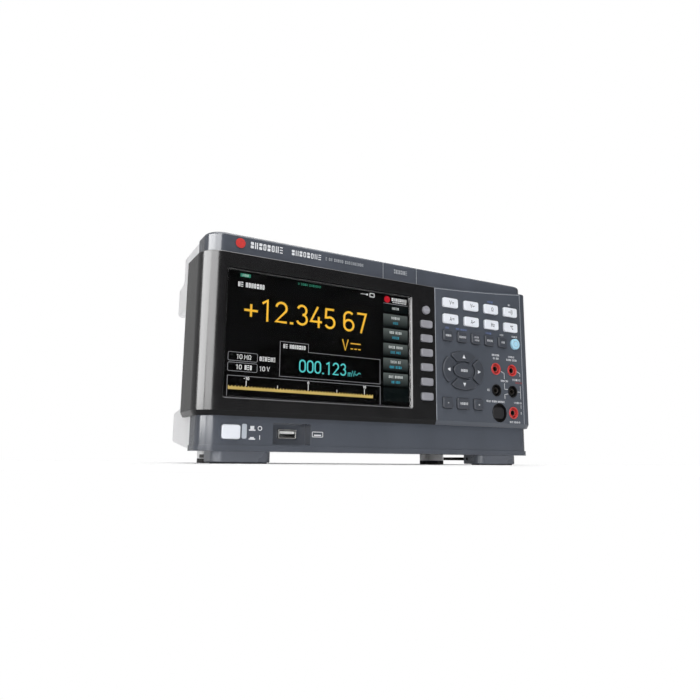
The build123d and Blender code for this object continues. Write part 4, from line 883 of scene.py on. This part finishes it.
def top_edge(x):
    """Height of the keypad panel's top edge at x, read from its own mesh."""
    tolerance, above = 0.02 * MM, cad_low.z + 146 * MM
    mesh = frame["nodes"]["keypad_panel"].data
    near = [v.co for v in mesh.vertices if abs(v.co.y - PANEL_FACE) < tolerance]
    high = [v for v in near if v.z > above]
    high.sort(key=lambda v: v.x)
    for first, second in zip(high, high[1:]):
        if first.x <= x <= second.x and second.x > first.x:
            return first.z + (second.z - first.z) * (x - first.x) / (second.x - first.x)
    return high[-1].z


def build_pinstripe(pale):
    """Fine raised pale line down the keypad panel's left edge, along its climbing top and down its right;
    along the top it also serves as a painted highlight on the panel's edge.
    """
    side_inset, right_inset, top_inset, low_inset = 0.45 * MM, 14.0 * MM, 0.5 * MM, 3.6 * MM
    left = PANEL_LOW.x + side_inset
    right = PANEL_HIGH.x - right_inset
    low = PANEL_LOW.z + low_inset
    steps = 24
    top = [left + (right - left) * step / steps for step in range(steps + 1)]
    path = [(left, low)] + [(x, top_edge(x) - top_inset) for x in top] + [(right, low)]
    stripe = Marks("panel_pinstripe", pale, PANEL_FACE, thick=0.16 * MM)
    stripe.stroke(path, 0.42 * MM)
    stripe.piece()


# ------------------------------------------------------------------ legends on the keys
def key_face(name):
    """Centre of a key's face in X and Z, and the Y of that face."""
    low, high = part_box(name)
    return (low.x + high.x) / 2, (low.z + high.z) / 2, low.y


def arrow(marks, x, z, size, turn):
    """Solid triangle about a centre, pointing up when turn is 0, turned anticlockwise in degrees."""
    corners = ((-0.5, -0.42), (0.5, -0.42), (0, 0.58))
    turned = Matrix.Rotation(math.radians(turn), 2)
    points = [turned @ Vector(corner) * size for corner in corners]
    marks.polygon([(x + point.x, z + point.y) for point in points])


def legend(name, material, draw):
    """One key's legend as its own piece, riding on the key."""
    x, z, face = key_face(name)
    marks = Marks(f"{name}_legend", material, face, body=name)
    draw(marks, x, z)
    marks.piece()


def signs(text, height=3.5 * MM, weight=0.14, across=0.0):
    """A drawing of figures or unit signs, for legend()."""
    return lambda marks, x, z: write_centred(marks, text, x + across, z, height, weight)


def wording(words, width, height=1.7):
    """A drawing of stand-in wording of a width and height in millimetres, for legend()."""
    return lambda marks, x, z: dummy(marks, words, x - width / 2 * MM, z, width * MM, height * MM)


def continuity(marks, x, z):
    """Sound waves spreading from a dot."""
    marks.polygon(loop(x - 2.0 * MM, z, 0.55 * MM, 0.55 * MM))
    for radius in (1.5, 2.7, 3.9):
        marks.stroke(arc(x - 2.0 * MM, z, radius * MM, radius * MM, -38, 38, 6), 0.42 * MM)


def two_rows(marks, x, z):
    """Stand-in wording in two short rows."""
    dummy(marks, (4,), x - 2.6 * MM, z + 1.4 * MM, 5.0 * MM, 1.4 * MM)
    dummy(marks, (4,), x - 2.0 * MM, z - 1.2 * MM, 5.0 * MM, 1.4 * MM)


def build_legends(dark, white, pale):
    """Unit signs on the function keys, arrows on the direction keys, stand-in wording on the rest."""
    for name, text in (
        ("dc_voltage_key", "V="), ("ac_voltage_key", "V~"), ("resistance_key", "R"), ("dc_current_key", "A="),
        ("ac_current_key", "A~"), ("frequency_key", "Hz"), ("temperature_key", "oC"),
    ):
        legend(name, dark, signs(text, across=1.0 * MM))
    legend("continuity_key", dark, continuity)
    for name, draw in (
        ("utility_key", wording((5,), 6.0)), ("hold_key", wording((6,), 7.4)), ("display_key", two_rows),
        ("trigger_key", wording((6,), 6.6)), ("acquire_key", wording((3,), 3.8)),
        ("auto_range_key", wording((5,), 8.4, 2.0)), ("enter_key", wording((5,), 7.4, 2.2)),
        ("range_up_key", signs("+", 2.6 * MM, 0.2)), ("range_down_key", signs("-", 2.6 * MM, 0.2)),
    ):
        legend(name, white, draw)
    for way, turn in (("up", 0), ("left", 90), ("down", 180), ("right", -90)):
        legend(f"nav_{way}_key", white, lambda marks, x, z, turn=turn: arrow(marks, x, z, 3.2 * MM, turn))
    legend("back_key", pale, wording((4,), 5.2, 1.5))
    legend("shift_key", pale, lambda marks, x, z: marks.stroke(
        loop(x, z, 2.6 * MM, 2.6 * MM), 0.35 * MM, closed=True))


def build_panel_labels(white, blue):
    """Small wording above the keys: blue for the shifted functions, white for the rest."""
    shifted = Marks("shift_print", blue, PANEL_FACE)
    for name, words, width, lift in (
        ("resistance_key", (4,), 6.4, 7.0), ("utility_key", (3,), 3.6, 7.0), ("hold_key", (3, 5), 12.0, 7.0),
        ("trigger_key", (4,), 6.6, 7.0),
    ):
        x, z, _ = key_face(name)
        dummy(shifted, words, x - width / 2 * MM, z + lift * MM, width * MM, 1.5 * MM)
    shifted.piece()
    plain = Marks("key_print", white, PANEL_FACE)
    for name, words, width, lift in (
        ("continuity_key", (2,), 2.8, 7.0), ("acquire_key", (3,), 4.4, 7.0), ("shift_key", (5,), 7.2, 6.9),
    ):
        x, z, _ = key_face(name)
        dummy(plain, words, x - width / 2 * MM, z + lift * MM, width * MM, 1.5 * MM)
    plain.piece()


# ------------------------------------------------------------------ studio
# fitted camera: place in millimetres, turns in degrees, lens in millimetres on a 36 mm sensor
CAMERA = {"place": (-268.0, -481.1, 2.5), "yaw": 29.078, "pitch": 10.124, "roll": -0.482, "lens": 31.955}


def build_camera():
    """Low three-quarter view from the left, looking slightly up."""
    data = bpy.data.cameras.new("camera")
    data.lens = CAMERA["lens"]
    data.sensor_width = 36.0
    data.clip_start, data.clip_end = 0.01, 60.0
    camera = bpy.data.objects.new("camera", data)
    yaw, pitch, roll = (math.radians(CAMERA[key]) for key in ("yaw", "pitch", "roll"))
    ahead = Vector((math.sin(yaw) * math.cos(pitch), math.cos(yaw) * math.cos(pitch), math.sin(pitch)))
    across = Vector((math.cos(yaw), -math.sin(yaw), 0.0))
    down = ahead.cross(across)
    right = across * math.cos(roll) + down * math.sin(roll)
    fall = down * math.cos(roll) - across * math.sin(roll)
    rotation = Matrix((right, -fall, -ahead)).transposed().to_4x4()
    camera.matrix_world = Matrix.Translation(Vector(CAMERA["place"]) * MM) @ rotation
    bpy.context.scene.collection.objects.link(camera)
    bpy.context.scene.camera = camera


def build_floor():
    """Pale sheet under the feet that fades to plain white away from the instrument."""
    sheet_radius, fade_from, fade_to = 1.4, 0.24, 0.42
    mesh = bmesh.new()
    bmesh.ops.create_circle(mesh, cap_ends=True, segments=96, radius=sheet_radius)
    bmesh.ops.translate(mesh, verts=mesh.verts, vec=(0, 0, cad_low.z - 0.05 * MM))
    data = bpy.data.meshes.new("floor")
    mesh.to_mesh(data)
    mesh.free()
    floor = bpy.data.objects.new("floor", data)
    made = Surface("floor_paper")
    cloud = made.span(made.noise(0.4, 3.0), 0.0, 1.0)
    shade = made.blend(cloud, (0.90, 0.90, 0.90, 1), (0.93, 0.93, 0.93, 1))
    paper = made.finish(Base_Color=shade, Roughness=0.8, Specular_IOR_Level=0.1)
    reach = made.node("ShaderNodeVectorMath", operation="LENGTH")
    made.set(reach.inputs[0], made.place)
    away = made.span(reach.outputs["Value"], 0.0, 1.0, fade_from, fade_to)
    seen = made.node("ShaderNodeLightPath").outputs["Is Camera Ray"]
    glow = made.node("ShaderNodeEmission", Strength=1.0)
    mix = made.node("ShaderNodeMixShader", Fac=made.maths("MULTIPLY", away, seen))
    made.set(mix.inputs[1], made.shader.outputs[0])
    made.set(mix.inputs[2], glow.outputs[0])
    made.set(made.tree.nodes["Material Output"].inputs["Surface"], mix.outputs[0])
    data.materials.append(paper)
    bpy.context.scene.collection.objects.link(floor)


def area_light(name, place, target, width, height, power, diffuse=True, shine=True):
    """A soft box aimed at a target, which can be left out of the diffuse light or of the reflections."""
    data = bpy.data.lights.new(name, "AREA")
    data.shape = "RECTANGLE"
    data.size, data.size_y = width, height
    data.energy = power
    lamp = bpy.data.objects.new(name, data)
    lamp.location = place
    lamp.rotation_euler = (Vector(target) - Vector(place)).to_track_quat("-Z", "Y").to_euler()
    lamp.visible_diffuse, lamp.visible_glossy = diffuse, shine
    bpy.context.scene.collection.objects.link(lamp)


def build_world():
    """White to the camera; to every other ray dim in front, lighter behind and lightest overhead."""
    world = bpy.data.worlds.new("studio")
    bpy.context.scene.world = world
    world.use_nodes = True
    made = Tree(world.node_tree)
    toward = made.node("ShaderNodeTexCoord").outputs["Generated"]
    parts = made.node("ShaderNodeSeparateXYZ", Vector=toward)
    level = made.span(parts.outputs["Y"], 0.10, 0.36, -0.1, 0.7)
    level = made.maths("MAXIMUM", level, made.span(parts.outputs["Z"], 0.0, 0.6, 0.35, 0.9))
    level = made.maths("MAXIMUM", level, made.node("ShaderNodeLightPath").outputs["Is Camera Ray"])
    background = world.node_tree.nodes["Background"]
    made.set(background.inputs["Color"], (1, 1, 1, 1))
    made.set(background.inputs["Strength"], level)


def build_studio():
    build_world()
    build_floor()
    build_camera()
    middle = (0, 0, 0.08)
    corner = (-0.15, -0.06, 0.10)
    area_light("top_box", (-0.1, -0.35, 1.7), middle, 1.8, 1.3, 22)
    area_light("key_box", (-0.7, -1.5, 1.35), middle, 0.9, 0.7, 6)
    area_light("low_box", (-0.75, -1.0, 0.12), middle, 0.9, 0.2, 3.2, shine=False)
    area_light("left_box", (-1.12, -0.21, 0.43), corner, 0.84, 0.75, 20, diffuse=False)
    area_light("front_left_box", (-0.81, -0.93, 0.45), corner, 0.80, 0.8, 14, diffuse=False)
    area_light("back_box", (0.9, 1.4, 1.2), middle, 1.0, 0.8, 8)
    view = bpy.context.scene.view_settings
    view.view_transform = "Standard"
    view.look = "None"


def build_all():
    dress_frame(build_materials())
    white = ink("white_ink", srgb(232, 234, 238))
    grey = ink("grey_ink", srgb(168, 172, 178))
    blue = ink("blue_ink", srgb(112, 134, 190))
    red = ink("red_ink", srgb(176, 58, 54))
    dark = ink("dark_ink", srgb(70, 72, 82))
    pale = ink("pale_line", srgb(176, 180, 188), 0.3)
    build_main_reading()
    build_second_reading()
    build_page_lines()
    build_bar_meter()
    build_white_marks()
    build_status_marks()
    build_softkey_labels()
    build_title_print(white, grey)
    build_power_print(white)
    build_jack_print(white, red)
    build_pinstripe(pale)
    build_legends(dark, white, pale)
    build_panel_labels(white, blue)
    build_studio()


build_all()
